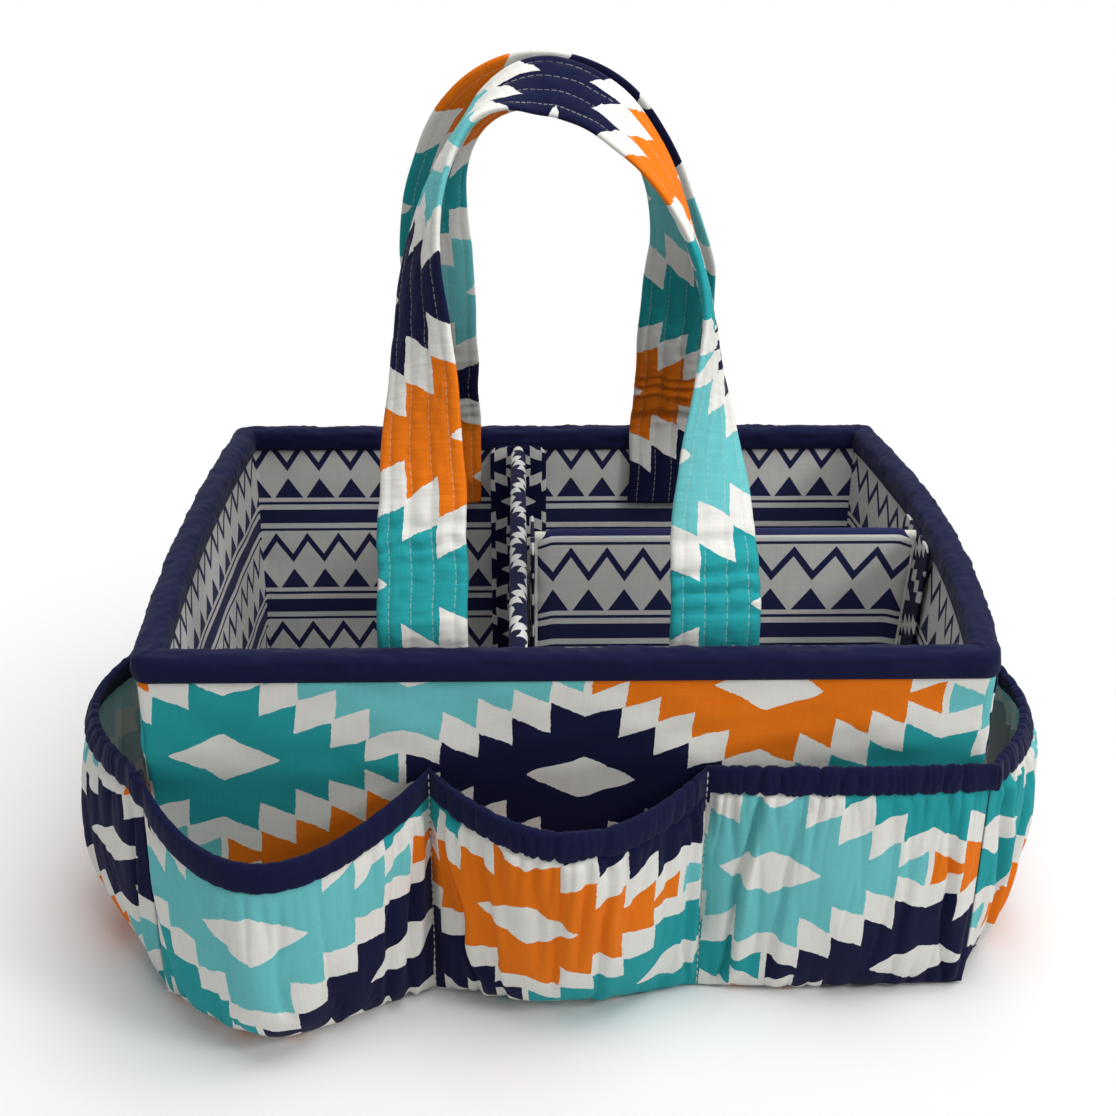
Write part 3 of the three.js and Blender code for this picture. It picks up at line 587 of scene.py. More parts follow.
lining_cotton, shader, cloth = cloth_material("lining_cotton")
striped = placed(lining_cotton.node_tree, stripes, Cloth=cloth, Ink=srgb(34, 37, 74), Ground=PALE_LINING)
finish_cloth(shader, cloth, striped["Color"], 0.5)
made = [m.name for m in bpy.data.materials if m.node_tree and m.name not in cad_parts]
print("cotton materials:", made)

# %% [markdown]
# ## Walls
# Each wall is foam between an outside cover and a lining, a little soft and uneven. A line that runs
# through half a corner, along the side and through half the next corner lets four covers meet on the
# corners with no gap. The print of each cover is cut from its own place on the cloth.


# %% Line along one side of the box
def side_line(half_span, half_reach, radius, count):
    """Half a rounded corner, the straight side and half the next corner, for a side that faces -Y. Half
    span, half reach and radius are arrays, one line for each entry. Gives places (x, y), outward directions
    and the distance along from the middle of the side."""
    half_span, half_reach, radius = np.broadcast_arrays(*np.atleast_1d(half_span, half_reach, radius))
    bend = np.linspace(np.pi / 4, 0, 6)[:-1]
    share = np.concatenate([-1 + 0 * bend, np.linspace(-1, 1, count), 1 + 0 * bend])[:, None]
    angle = np.concatenate([-bend, np.zeros(count), bend[::-1]])[:, None]
    start = share * (half_span - radius)
    out = np.stack(np.broadcast_arrays(np.sin(angle) + 0 * start, -np.cos(angle)), -1)
    place = np.stack(np.broadcast_arrays(start, radius - half_reach), -1) + radius[:, None] * out
    return place, out, start + radius * angle


def wall_grid(side, inset, radius, rows, swell, seed):
    """Upright surface along a side: the line of the side, carried up through rows of heights and pushed
    outward by the bow and by a swell(along, height, seed) in millimetres."""
    half_span, half_reach = side["span"] / 2 - inset, side["reach"] - inset
    place, out, along = side_line(half_span, half_reach, radius, int(side["span"] / WALL_STEP))
    u, z = np.meshgrid(along[:, 0], rows)
    push = bow_at(side, u, z) + swell(u, z, seed)
    level = place[None, :, 0] + out[None, :, 0] * push[..., None]
    points = np.concatenate([level, z[..., None]], -1)
    return turned(points, side["turn"]), u, z


# %% Wall covers and linings
COVER_PRINT = {
    "front": (217.7, -59.3, 4.3),
    "right": (70.0, -95.0, -1.5),
    "back": (10.0, -128.0, 1.0),
    "left": (-30.0, -100.0, 2.0),
}
COVER_RADIUS, LINING_RADIUS = 4.0, 2.0
LINING_PRINT = {"front": 3.0, "right": 9.0, "back": 0.0, "left": 5.0}


def cover_swell(u, z, seed):
    """Soft, uneven swell of a cover where it shows, between the mouths of the pockets and the rim."""
    shown = smooth((z - MOUTH_HEIGHT + 14) / 14) * smooth((WALL_TOP - 4.3 - z) / 6)
    return shown * (0.5 + 0.45 * ripples(seed, u, 2.2 * z, 24, 90))


def lining_swell(u, z, seed):
    """Slight unevenness of a lining, none where it meets the floor."""
    return 0.25 * ripples(seed, u, 1.5 * z, 30, 110) * smooth((z - 8) / 20)


def put_on(piece, body, slot, *nodes):
    """Rides on a body and stands for its CAD nodes, which it hides; the slot is not used."""
    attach(piece, body)
    if nodes:
        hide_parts(*nodes)


for number, (name, side) in enumerate(SIDES.items()):
    rows = np.linspace(WALL_FOOT, WALL_TOP, WALL_ROWS)
    points, u, z = wall_grid(side, 0, COVER_RADIUS, rows, cover_swell, 20 + number)
    across, up, tilt = COVER_PRINT[name]
    level, slant = np.cos(np.radians(tilt)), np.sin(np.radians(tilt))
    uv = np.stack([u * level - z * slant + across, u * slant + z * level + up], -1)
    cover = sheet_piece(f"{name}_cover", points, uv, [outer_cotton], CLOTH)
    put_on(cover, "caddy", "printed_cotton", f"{name}_wall_cover")
    flat_size(cover, np.ptp(u), np.ptp(z))

    rows = np.linspace(FLOOR - 0.5, WALL_TOP, WALL_ROWS)
    points, u, z = wall_grid(side, WALL, LINING_RADIUS, rows, lining_swell, 40 + number)
    uv = np.stack([-u, z + LINING_PRINT[name]], -1)
    lining = sheet_piece(f"{name}_lining", points, uv, [lining_cotton], CLOTH, flip=True)
    put_on(lining, "caddy", "lining_cotton", f"{name}_wall_lining")
    flat_size(lining, np.ptp(u), np.ptp(z))

# %% [markdown]
# ## Base
# The floor of the box is a board between the lining inside and the cover underneath. Both are flat sheets;
# the lining is drawn a little loose over its board.


# %% Base cover and base lining
def level_sheet(name, half_x, half_y, height, material, lift, flip):
    """Flat rectangle with a slight unevenness that fades at its edges."""
    x, y = np.meshgrid(np.linspace(-half_x, half_x, 70), np.linspace(-half_y, half_y, 56))
    fade = smooth((half_x - abs(x)) / 25) * smooth((half_y - abs(y)) / 25)
    z = height + lift * fade * (1 + ripples(61, x, y, 40, 140))
    return sheet_piece(name, np.stack([x, y, z], -1), np.stack([x, y], -1), [material], 0.8, flip)


base_cover = level_sheet("base_underside", WIDTH / 2 - 0.5, DEPTH / 2 - 0.5, 0.1, outer_cotton, 0.0, True)
put_on(base_cover, "caddy", "printed_cotton", "base_cover")
flat_size(base_cover, WIDTH, DEPTH)
half_x, half_y = WIDTH / 2 - WALL, DEPTH / 2 - WALL
base_lining = level_sheet("base_inside", half_x, half_y, FLOOR, lining_cotton, 0.15, False)
put_on(base_lining, "caddy", "lining_cotton", "base_lining")
flat_size(base_lining, WIDTH - 2 * WALL, DEPTH - 2 * WALL)

# %% [markdown]
# ## Rim binding
# Navy bias tape is folded over the top edge of all four walls and sewn through. Its section is an
# upside-down U with a round top; carried once round the rim, it gets the slight pulls and puckers of tape
# that was eased round corners.


# %% Rim binding
def rim_section():
    """Closed section of the folded tape: x outward from the middle of the wall, y up from the rim. The
    outside is a rounded arch that swells a little between its stitched edges, and the inside lies on the
    wall."""
    angle = np.linspace(0, np.pi, 21)
    top = np.stack([RIM_REACH * np.cos(angle), RIM_ROUND * (np.sin(angle) ** 0.85 - 1)], -1)
    drop = np.linspace(-RIM_DROP, -RIM_ROUND - 0.5, 8)
    swell = 0.35 * np.sin(np.pi * (drop + RIM_DROP) / (RIM_DROP - RIM_ROUND))
    swell -= 0.25 * smooth((-8.6 - drop) / 2.4)
    right = np.stack([RIM_REACH + swell, drop], -1)
    left = (right * (-1, 1))[::-1]
    inner = RIM_REACH - 1.3
    hidden = np.array([[-inner, -RIM_DROP], [-inner, -1.7], [inner, -1.7], [inner, -RIM_DROP]])
    return np.concatenate([right, top, left, hidden]), len(right) + len(top) + len(left)


def rim_rings():
    """The section at each place round the rim, pushed outward by the bow of its side. Each point of the
    section turns the corners on its own radius, so the inner edge keeps a small sharp corner, as a mitred
    fold does."""
    section, outside = rim_section()
    rings, lengths, start = [], [], 0.0
    x, z = section[:, 0], HEIGHT + section[:, 1]
    for side in SIDES.values():
        half_span, half_reach = side["span"] / 2 - WALL / 2 + x, side["reach"] - WALL / 2 + x
        radius = np.clip(1.6 + x, 0.8, None)
        place, out, along = side_line(half_span, half_reach, radius, int(side["span"] / RIM_STEP))
        level = place + out * bow_at(side, along, z[None])[..., None]
        points = np.concatenate([level, np.broadcast_to(z[:, None], (*along.shape, 1))], -1)[:-1]
        rings.append(turned(points, side["turn"]))
        middle = along.mean(1)
        lengths.append(start + middle[:-1] - middle[0])
        start += middle[-1] - middle[0]
    return np.concatenate(rings), np.concatenate(lengths), section, outside


rings, rim_along, section, outside = rim_rings()
girth = np.concatenate([[0], np.cumsum(np.linalg.norm(np.diff(section, axis=0), axis=1))])
along_grid, girth_grid = np.meshgrid(rim_along, girth, indexing="ij")
pull = 0.32 * ripples(71, along_grid + 0.8 * girth_grid, 2.5 * girth_grid, 9, 60, 20)
pull += 0.18 * ripples(72, along_grid, 0.3 * girth_grid, 4, 9, 8)
pull *= smooth(np.minimum(girth_grid, girth[outside - 1] - girth_grid) / 3.0)
pull *= np.arange(len(section)) < outside
middle = np.stack([rings[..., 0].mean(1), rings[..., 1].mean(1), 0 * rings[:, 0, 2] + HEIGHT - 5.5], -1)
away = rings - middle[:, None]
rings = rings + away / np.linalg.norm(away, axis=-1, keepdims=True) * pull[..., None]
rings[..., 2] = np.minimum(rings[..., 2], HEIGHT + 0.3)
uv = np.stack([girth_grid, along_grid], -1)
uv = np.concatenate([uv, uv[:, -1:] + (9, 0)], 1)
uv = np.concatenate([uv, uv[:1] + (0, rim_along[-1] + 2)], 0)
rim = tube_piece("rim_tape", rings, uv, [binding_navy], loop=True)
put_on(rim, "caddy", "navy_tape", "rim_binding")
print("rim tape:", rings.shape[0], "places round", round(rim_along[-1]), "mm")

# %% [markdown]
# ## Pockets
# Ten pockets stand off the walls, three each in front and at the back and two on each side. Elastic in the
# casing at the mouth draws the cloth together, so it leaves the casing in many small folds that fan out and
# die away over the belly, and more folds stand along the bottom seam. The smooth form of a pocket is the
# CAD model's: a Bezier profile up the cloth whose reach grows from the seams to the middle as a power of a
# sine. The folds are added along the surface's own normals, each one a rounded ridge with its own place,
# height, length and lean.

# %% Pocket forms
POCKETS = {
    "front": {
        "front_pocket_left": dict(toe=54, belly=56, height=26, lip=44, sag=16, peak=0.45),
        "front_pocket_middle": dict(toe=18, belly=44, height=30, lip=36, sag=8),
        "front_pocket_right": dict(toe=6, belly=20, height=32, lip=11, sag=-5),
    },
    "right": {
        "right_pocket_front": dict(toe=22, belly=58, height=30, lip=30, sag=5),
        "right_pocket_rear": dict(toe=16, belly=46, height=30, lip=26, sag=5),
    },
    "back": {
        f"back_pocket_{place}": dict(toe=12, belly=34, height=30, lip=22, sag=4)
        for place in ("left", "middle", "right")
    },
    "left": {
        "left_pocket_rear": dict(toe=20, belly=54, height=20, lip=30, sag=4),
        "left_pocket_front": dict(toe=26, belly=66, height=16, lip=34, sag=2),
    },
}
PLAIN_PEAK, POCKET_INSET = 0.5, 1.6


def pocket_profile(pocket, s, v):
    """Distance off the wall and height of a pocket at s across it and v up its cloth, and the direction up
    the cloth. Fullness is the sine of pi times s, skewed to the peak, to the power 0.9; it scales a cubic
    Bezier profile."""
    skew = np.log(0.5) / np.log(pocket.get("peak", PLAIN_PEAK))
    full = np.clip(np.sin(np.pi * s**skew), 0, None) ** FULLNESS_POWER
    top = MOUTH_HEIGHT - TAPE_HEIGHT - pocket["sag"] * full
    level = (0 * full + GAP, GAP + pocket["toe"] * full, GAP + POCKET_LIFT + pocket["belly"] * full)
    level += (GAP + POCKET_LIFT + pocket["lip"] * full,)
    upright = (0 * full + TOE_HEIGHT, 0 * full + TOE_HEIGHT + TOE_RISE, 0 * full + pocket["height"], top)

    def bezier(p):
        """Value and slope, at v, of the cubic Bezier with four points p."""
        at = (1 - v) ** 3 * p[0] + 3 * (1 - v) ** 2 * v * p[1] + 3 * (1 - v) * v**2 * p[2] + v**3 * p[3]
        slope = 3 * ((1 - v) ** 2 * (p[1] - p[0]) + 2 * (1 - v) * v * (p[2] - p[1]) + v**2 * (p[3] - p[2]))
        return at, slope

    (off, off_slope), (height, height_slope) = bezier(level), bezier(upright)
    length = np.maximum(np.hypot(off_slope, height_slope), 1e-6)
    return off, height, off_slope / length, height_slope / length


def cell_of(side, number, count):
    """Both ends of a pocket along its side: equal shares, the outer ones reaching the corners of the
    box."""
    width = side["span"] - 2 * POCKET_INSET
    ends = -width / 2 + width * np.arange(count + 1) / count
    ends[[0, -1]] = np.array([-1, 1]) * (side["span"] / 2 + GAP + POCKET_CLOTH)
    return ends[number], ends[number + 1]


def on_side(side, u, off, z):
    """Point at u along a side, off millimetres outside it and at height z."""
    return np.stack([u, -(side["reach"] + off + bow_at(side, u, z)), z], -1)


def mouth_line(side, pocket, ends, s):
    """Lower edge of the casing along a pocket's mouth, with the directions up it and out of it, and how far
    each place is from the seams. At both ends out is straight off the wall, so that neighbouring pockets
    meet."""
    off, z, off_up, z_up = pocket_profile(pocket, s, 0 * s + 1)
    edge = on_side(side, ends[0] + (ends[1] - ends[0]) * s, off, z)
    climb = np.stack([0 * s, -off_up, z_up], -1)
    run = np.gradient(edge, axis=0)
    run /= np.linalg.norm(run, axis=-1, keepdims=True)
    clear = smooth(np.minimum(s, 1 - s) / 0.09)[:, None]
    out = np.cross(run * clear + np.array([1.0, 0, 0]) * (1 - clear), climb)
    return edge, climb, out / np.linalg.norm(out, axis=-1, keepdims=True), clear


def gathers(seed, along, run, pitch, reach):
    """Gathered folds, rounded ridges with sharp valleys between: the size of a sine of the place along to
    the power 0.8. The pitch wanders, the strength changes along the cloth, and all fade with the run away
    from the seam."""
    wander = 0.4 * pitch * ripples(seed, along, 0.3 * run, 2.5 * pitch, 9 * pitch, 8)
    strength = np.clip(0.6 + 0.5 * ripples(seed + 1, along, 0.2 * run, 3 * pitch, 10 * pitch, 6), 0.1, 1.3)
    ridge = np.abs(np.sin(np.pi * (along + wander) / pitch)) ** 0.8
    return strength * (ridge - 0.45) * np.exp(-((run / reach) ** 1.4))


def tucks(seed, along, run, length, places):
    """Deep creases from the mouth to the bottom seam: a narrow valley beside a low ridge, both bell curves
    across the cloth. Each place gives the share across at the mouth, the share at the bottom and the
    depth."""
    width, total = along.max(), 0 * along
    for number, (at_mouth, at_bottom, depth) in enumerate(places):
        share = np.clip(run / length, 0, 1)
        line = width * (at_mouth + (at_bottom - at_mouth) * share)
        line = line + 1.5 * ripples(seed + number, run, 0 * run, 25, 80)
        off = along - line
        body = 0.35 + 0.65 * np.sin(np.pi * np.clip(share, 0.05, 0.95)) ** 0.7
        fold = 0.8 * np.exp(-(((off - 4) / 3.8) ** 2)) - 1.2 * np.exp(-((off / 1.8) ** 2))
        total = total + depth * body * fold
    return total


# %% [markdown]
# ### Pocket cloth
# Each pocket is cut from its own place on the print. Its UV runs across in true lengths measured over the
# belly, and up the cloth in shares of one cut height, because the cloth is a straight strip: near the mouth
# the print follows the sagging casing, near the floor it runs level, and it narrows where the elastic
# gathers the cloth.

# %% Pocket cloth
POCKET_PRINT = {
    "front_pocket_left": (4.0, 19.0),
    "front_pocket_middle": (161.3, 35.0),
    "front_pocket_right": (33.5, 33.0),
    "right_pocket_front": (145.0, 74.0),
    "right_pocket_rear": (10.0, 45.0),
    "back_pocket_left": (56.0, 95.0),
    "back_pocket_middle": (0.0, 48.0),
    "back_pocket_right": (112.0, 44.0),
    "left_pocket_rear": (112.0, 55.0),
    "left_pocket_front": (157.0, 85.0),
}
FULLNESS = {
    "front_pocket_left": (1.0, 0.94),
    "front_pocket_middle": (1.05, 1.0),
    "front_pocket_right": (1.08, 0.9),
}
PLAIN_FULLNESS = (1.05, 0.96)
GATHER = {
    "front_pocket_left": 0.55,
    "front_pocket_middle": 1.2,
    "front_pocket_right": 1.2,
    "left_pocket_front": 0.6,
}
PLAIN_GATHER, FINE_GATHER = 1.6, 1.9
GATHER_FOLDS = [(3.0, 14.5, 34), (2.6, 29, 64)]
TUCKS = {
    "front_pocket_left": [(0.93, 0.88, 2.6), (0.08, 0.13, 2.2), (0.86, 0.80, 1.4)],
    "front_pocket_middle": [(0.08, 0.20, 3.6), (0.62, 0.58, 1.5), (0.90, 0.95, 2.6), (0.20, 0.30, 1.2)],
    "front_pocket_right": [(0.19, 0.08, 4.6), (0.30, 0.27, 1.3), (0.84, 0.92, 2.8), (0.72, 0.70, 0.9)],
    "right_pocket_front": [
        (0.08, 0.17, 4.2), (0.25, 0.22, 3.0), (0.42, 0.5, 2.0), (0.6, 0.64, 2.2), (0.9, 0.84, 3.0),
    ],
    "left_pocket_front": [(0.96, 0.90, 2.6), (0.62, 0.55, 2.0), (0.4, 0.37, 2.2), (0.1, 0.16, 3.0)],
}
PLAIN_TUCKS = [(0.09, 0.14, 2.4), (0.33, 0.30, 1.3), (0.66, 0.70, 1.4), (0.92, 0.87, 2.3)]
COLUMNS, ROWS = 104, 56
TUCKED_IN = (1.2, 2.4, 3.5)
TUCKED = len(TUCKED_IN)


def pocket_grid(side, pocket, ends, seed, gather, places):
    """Cloth of one pocket from its bottom seam to the inside of the casing, with its larger folds, and its
    lengths along the cloth and below and above its seams. The broader the gathers are, the further they
    run."""
    across = np.linspace(0, 1, COLUMNS)
    s, v = np.meshgrid(across, np.linspace(0, 1, ROWS - TUCKED))
    off, z, _, _ = pocket_profile(pocket, s, v)
    form = on_side(side, ends[0] + (ends[1] - ends[0]) * s, off, z)
    edge, climb, out, _ = mouth_line(side, pocket, ends, across)
    inside_casing = edge + climb * np.array(TUCKED_IN)[:, None, None]
    smooth_form = np.concatenate([form, inside_casing])
    over_belly = run_length(smooth_form, 1)[ROWS // 2]
    up_cloth = run_length(smooth_form, 0)
    below = up_cloth[-TUCKED - 1] - up_cloth
    along = np.broadcast_to(over_belly, below.shape)
    s = np.broadcast_to(across, below.shape)
    at_seams = smooth(np.minimum(s, 1 - s) / 0.05)
    off_cloth = outward_normals(smooth_form)
    off_cloth[-TUCKED - 2:] = out
    off_cloth = off_cloth * at_seams[..., None] + np.array([0, -1.0, 0]) * (1 - at_seams)[..., None]
    off_cloth /= np.linalg.norm(off_cloth, axis=-1, keepdims=True)
    run = np.clip(below, 0, None)
    folds = 0
    for number, (high, pitch, reach) in enumerate(GATHER_FOLDS, 1):
        folds = folds + high * gathers(seed + 3 * number, along, run, pitch, reach)
    folds = gather * folds * smooth(below / 3.0)
    folds += tucks(seed + 12, along, run, below[0], places) * smooth(below / 6) * smooth(up_cloth / 6)
    drag = 1.1 * ripples(seed + 20, along, 0.45 * below, 20, 80) * smooth(below / 18) * smooth(up_cloth / 12)
    height = POCKET_CLOTH + (folds + drag) * at_seams
    height[-TUCKED:] = 0.5
    points = smooth_form + off_cloth * height[..., None]
    peak = np.interp(pocket.get("peak", PLAIN_PEAK), across, over_belly)
    return points, along - peak, below, up_cloth


pocket_grids = {}
for name, side in SIDES.items():
    for number, (pocket_name, pocket) in enumerate(POCKETS[name].items()):
        ends = cell_of(side, number, len(POCKETS[name]))
        seed = 100 + 10 * sum(map(ord, pocket_name)) % 997
        places = TUCKS.get(pocket_name, PLAIN_TUCKS)
        gather = GATHER.get(pocket_name, PLAIN_GATHER)
        pocket_grids[pocket_name] = pocket_grid(side, pocket, ends, seed, gather, places)
print(len(pocket_grids), "pockets of", ROWS, "by", COLUMNS, "points")

# %% [markdown]
# ### Let the cloth settle
# The computed folds are even, and real ones push against each other. Blender's Cloth does that: all the
# pockets are held at their seams and at the mouth, the cloth near the mouth is told to grow by a third, as
# if the elastic had drawn that much more in, and twenty-odd steps let it buckle and sag. The rehearsal runs
# at ten times the size, where the usual stiffness of cotton suits a mesh this fine. Its moves are capped,
# and the mesh is thrown away afterwards.

# %% Cloth rehearsal
SETTLE_SCALE, SETTLE_FRAMES, SETTLE_CAP = 10.0, 24, 9.0
GROWTH, LOOSE_STEPS = 0.34, 20


def settled(grids):
    """Pocket points after the rehearsal: start points plus the simulated move, shortened to at most the
    cap."""
    start = np.stack([grid[0] for grid in grids.values()])
    below = np.stack([grid[2] for grid in grids.values()])
    above = np.stack([grid[3] for grid in grids.values()])
    index = np.arange(start[..., 0].size).reshape(start.shape[:3])
    quads = np.concatenate([corners_of(i).reshape(-1, 4) for i in index])
    mesh = bpy.data.meshes.new("rehearsal")
    mesh.from_pydata((start.reshape(-1, 3) * MM * SETTLE_SCALE).tolist(), [], quads.tolist())
    rehearsal = bpy.data.objects.new("rehearsal", mesh)
    bpy.context.scene.collection.objects.link(rehearsal)
    held = np.zeros(start.shape[:3], bool)
    held[:, :2], held[:, -TUCKED - 1:], held[:, :, :2], held[:, :, -2:] = True, True, True, True
    rehearsal.vertex_groups.new(name="held").add(np.flatnonzero(held).tolist(), 1.0, "REPLACE")
    gather = np.array([GATHER.get(name, PLAIN_GATHER) for name in grids])[:, None, None]
    near_mouth = np.exp(-((np.clip(below, 0, None) / 30) ** 1.2))
    near_floor = np.exp(-((above / 16) ** 2))
    loose = np.clip(gather * near_mouth + 0.35 * near_floor + 0.12, 0, 1)
    group = rehearsal.vertex_groups.new(name="loose")
    steps = np.round(loose.ravel() * LOOSE_STEPS).astype(int)
    for step in range(1, LOOSE_STEPS + 1):
        group.add(np.flatnonzero(steps == step).tolist(), step / LOOSE_STEPS, "REPLACE")
    cotton = rehearsal.modifiers.new("settle", "CLOTH").settings
    cotton.quality = 5
    cotton.mass = 0.3
    cotton.tension_stiffness = cotton.compression_stiffness = 15
    cotton.shear_stiffness = 8
    cotton.bending_stiffness = 0.2
    cotton.vertex_group_mass = "held"
    cotton.vertex_group_shrink = "loose"
    cotton.shrink_min, cotton.shrink_max = 0.0, -GROWTH
    cotton.effector_weights.gravity = 0.12
    cotton.use_pressure = True
    cotton.uniform_pressure_force = 0.35
    for step in range(1, SETTLE_FRAMES + 1):
        bpy.context.scene.frame_set(step)
    result = rehearsal.evaluated_get(bpy.context.evaluated_depsgraph_get()).data
    moved = np.empty(len(mesh.vertices) * 3, np.float32)
    result.vertices.foreach_get("co", moved)
    move = moved.reshape(start.shape).astype(float) / (MM * SETTLE_SCALE) - start
    bpy.data.objects.remove(rehearsal)
    bpy.data.meshes.remove(mesh)
    bpy.context.scene.frame_set(1)
    size = np.linalg.norm(move, axis=-1, keepdims=True)
    move *= np.minimum(1, SETTLE_CAP / np.maximum(size, 1e-6))
    print(f"{len(start)} pockets moved {size.mean():.1f} mm on average, {size.max():.1f} mm at most")
    return dict(zip(grids, start + move))


pocket_points = settled(pocket_grids)

# %% [markdown]
# ### Fine gathers
# The rehearsal's mesh is coarse to keep it quick. The four-point rule makes it twice as fine both ways: a
# new point between two old ones is nine sixteenths of each, less one sixteenth of the next one on both
# sides, which keeps curves round. The small gathers under the casing and along the floor are then added to
# the fine mesh, where they stay crisp.


# %% Pocket cloth pieces
MOUTH_PITCH, MOUTH_RUN = 6.8, 18
FLOOR_PITCH, FLOOR_RUN = 10.5, 15


def finer(grid, axis):
    """Twice as fine along an axis by the four-point rule; the ends are carried on in a straight line."""
    grid = np.moveaxis(grid, axis, 0)
    padded = np.concatenate([2 * grid[:1] - grid[1:2], grid, 2 * grid[-1:] - grid[-2:-1]])
    between = (9 * (padded[1:-2] + padded[2:-1]) - padded[:-3] - padded[3:]) / 16
    result = np.empty((2 * len(grid) - 1, *grid.shape[1:]))
    result[::2], result[1::2] = grid, between
    return np.moveaxis(result, 0, axis)


for name, side in SIDES.items():
    for pocket_name in POCKETS[name]:
        points, along, below, up_cloth = [
            finer(finer(grid, 0), 1) for grid in (pocket_points[pocket_name], *pocket_grids[pocket_name][1:])
        ]
        seed = 500 + sum(map(ord, pocket_name))
        run, rise = np.clip(below, 0, None), np.clip(up_cloth, 0, None)
        gather = GATHER.get(pocket_name, PLAIN_GATHER) * FINE_GATHER
        small = gather * gathers(seed, along, run, MOUTH_PITCH, MOUTH_RUN) * smooth(below / 2.5)
        small += 1.3 * gathers(seed + 3, along, rise, FLOOR_PITCH, FLOOR_RUN) * smooth(rise / 4)
        share = (along - along.min()) / np.ptp(along)
        small *= smooth(np.minimum(share, 1 - share) / 0.06)
        points = points + outward_normals(points) * small[..., None]
        nearest = side["reach"] + bow_at(side, points[..., 0], points[..., 2]) + 0.9
        points[..., 1] = np.minimum(points[..., 1], -nearest)
        points[..., 2] = np.maximum(points[..., 2], 1.0)
        across, drop = POCKET_PRINT[pocket_name]
        cut_height = 0.3 * below[0].mean() + 0.7 * below[0].max()
        wide, high = FULLNESS.get(pocket_name, PLAIN_FULLNESS)
        uv = np.stack([wide * along + across, drop - high * cut_height * below / below[0]], -1)
        points = turned(points, side["turn"])
        cloth_piece = sheet_piece(f"{pocket_name}_cloth", points, uv, [outer_cotton, pocket_inside], 0.8)
        put_on(cloth_piece, "caddy", "printed_cotton", pocket_name)
        cut = flat_size(cloth_piece, np.ptp(along), cut_height)

# %% [markdown]
# ### Ruched casing
# Navy tape folded over the mouth holds the elastic. Where the elastic is slack the tape bunches into short
# upright puckers; over a full pocket it is pulled nearly smooth. The band's section is a flat rounded loop,
# carried along all the mouths of one side, and the puckers swell it between its stitched lower edge and its
# top. The elastic is a flat band in the middle of it.

# %% Pocket casings
RUCHE = {"front_pocket_left": 0.4, "front_pocket_middle": 1.25, "front_pocket_right": 1.15}
PLAIN_RUCHE, MOUTH_POINTS, MITRE_RUN = 1.2, 200, 7
PUCKER, FINE_PUCKER = 8.6, 3.7
CASING_IN, CASING_OUT = -1.3, 2.5
BAND = np.array([[-0.3, 3.0], [0.5, 3.0], [0.5, 9.0], [-0.3, 9.0]])


def ruched(seed, along, up, pitch):
    """Puckers of a drawn-up tape: broad ridges with narrow valleys, the size of a sine to a low power. The
    pitch wanders and the strength changes a little along the tape."""
    wander = 0.42 * pitch * ripples(seed, along, 0.6 * up, 3 * pitch, 9 * pitch, 8)
    strength = np.clip(0.8 + 0.4 * ripples(seed + 1, along, 0 * up, 4 * pitch, 12 * pitch, 6), 0.2, 1.4)
    return strength * (np.abs(np.sin(np.pi * (along + wander) / pitch)) ** 0.45 - 0.75)


def casing_section(points=26):
    """Closed section of the casing: x off the pocket cloth, y up from the lower edge; a rounded flat loop
    that is thickest in the middle, where the elastic lies."""
    angle = np.linspace(0, 2 * np.pi, points, endpoint=False) - np.pi / 2
    x, y = signed_power(np.cos(angle), 0.4), signed_power(np.sin(angle), 0.75)
    middle, half = (CASING_IN + CASING_OUT) / 2, (CASING_OUT - CASING_IN) / 2
    return middle + half * x, TAPE_HEIGHT / 2 * (1 + y), x


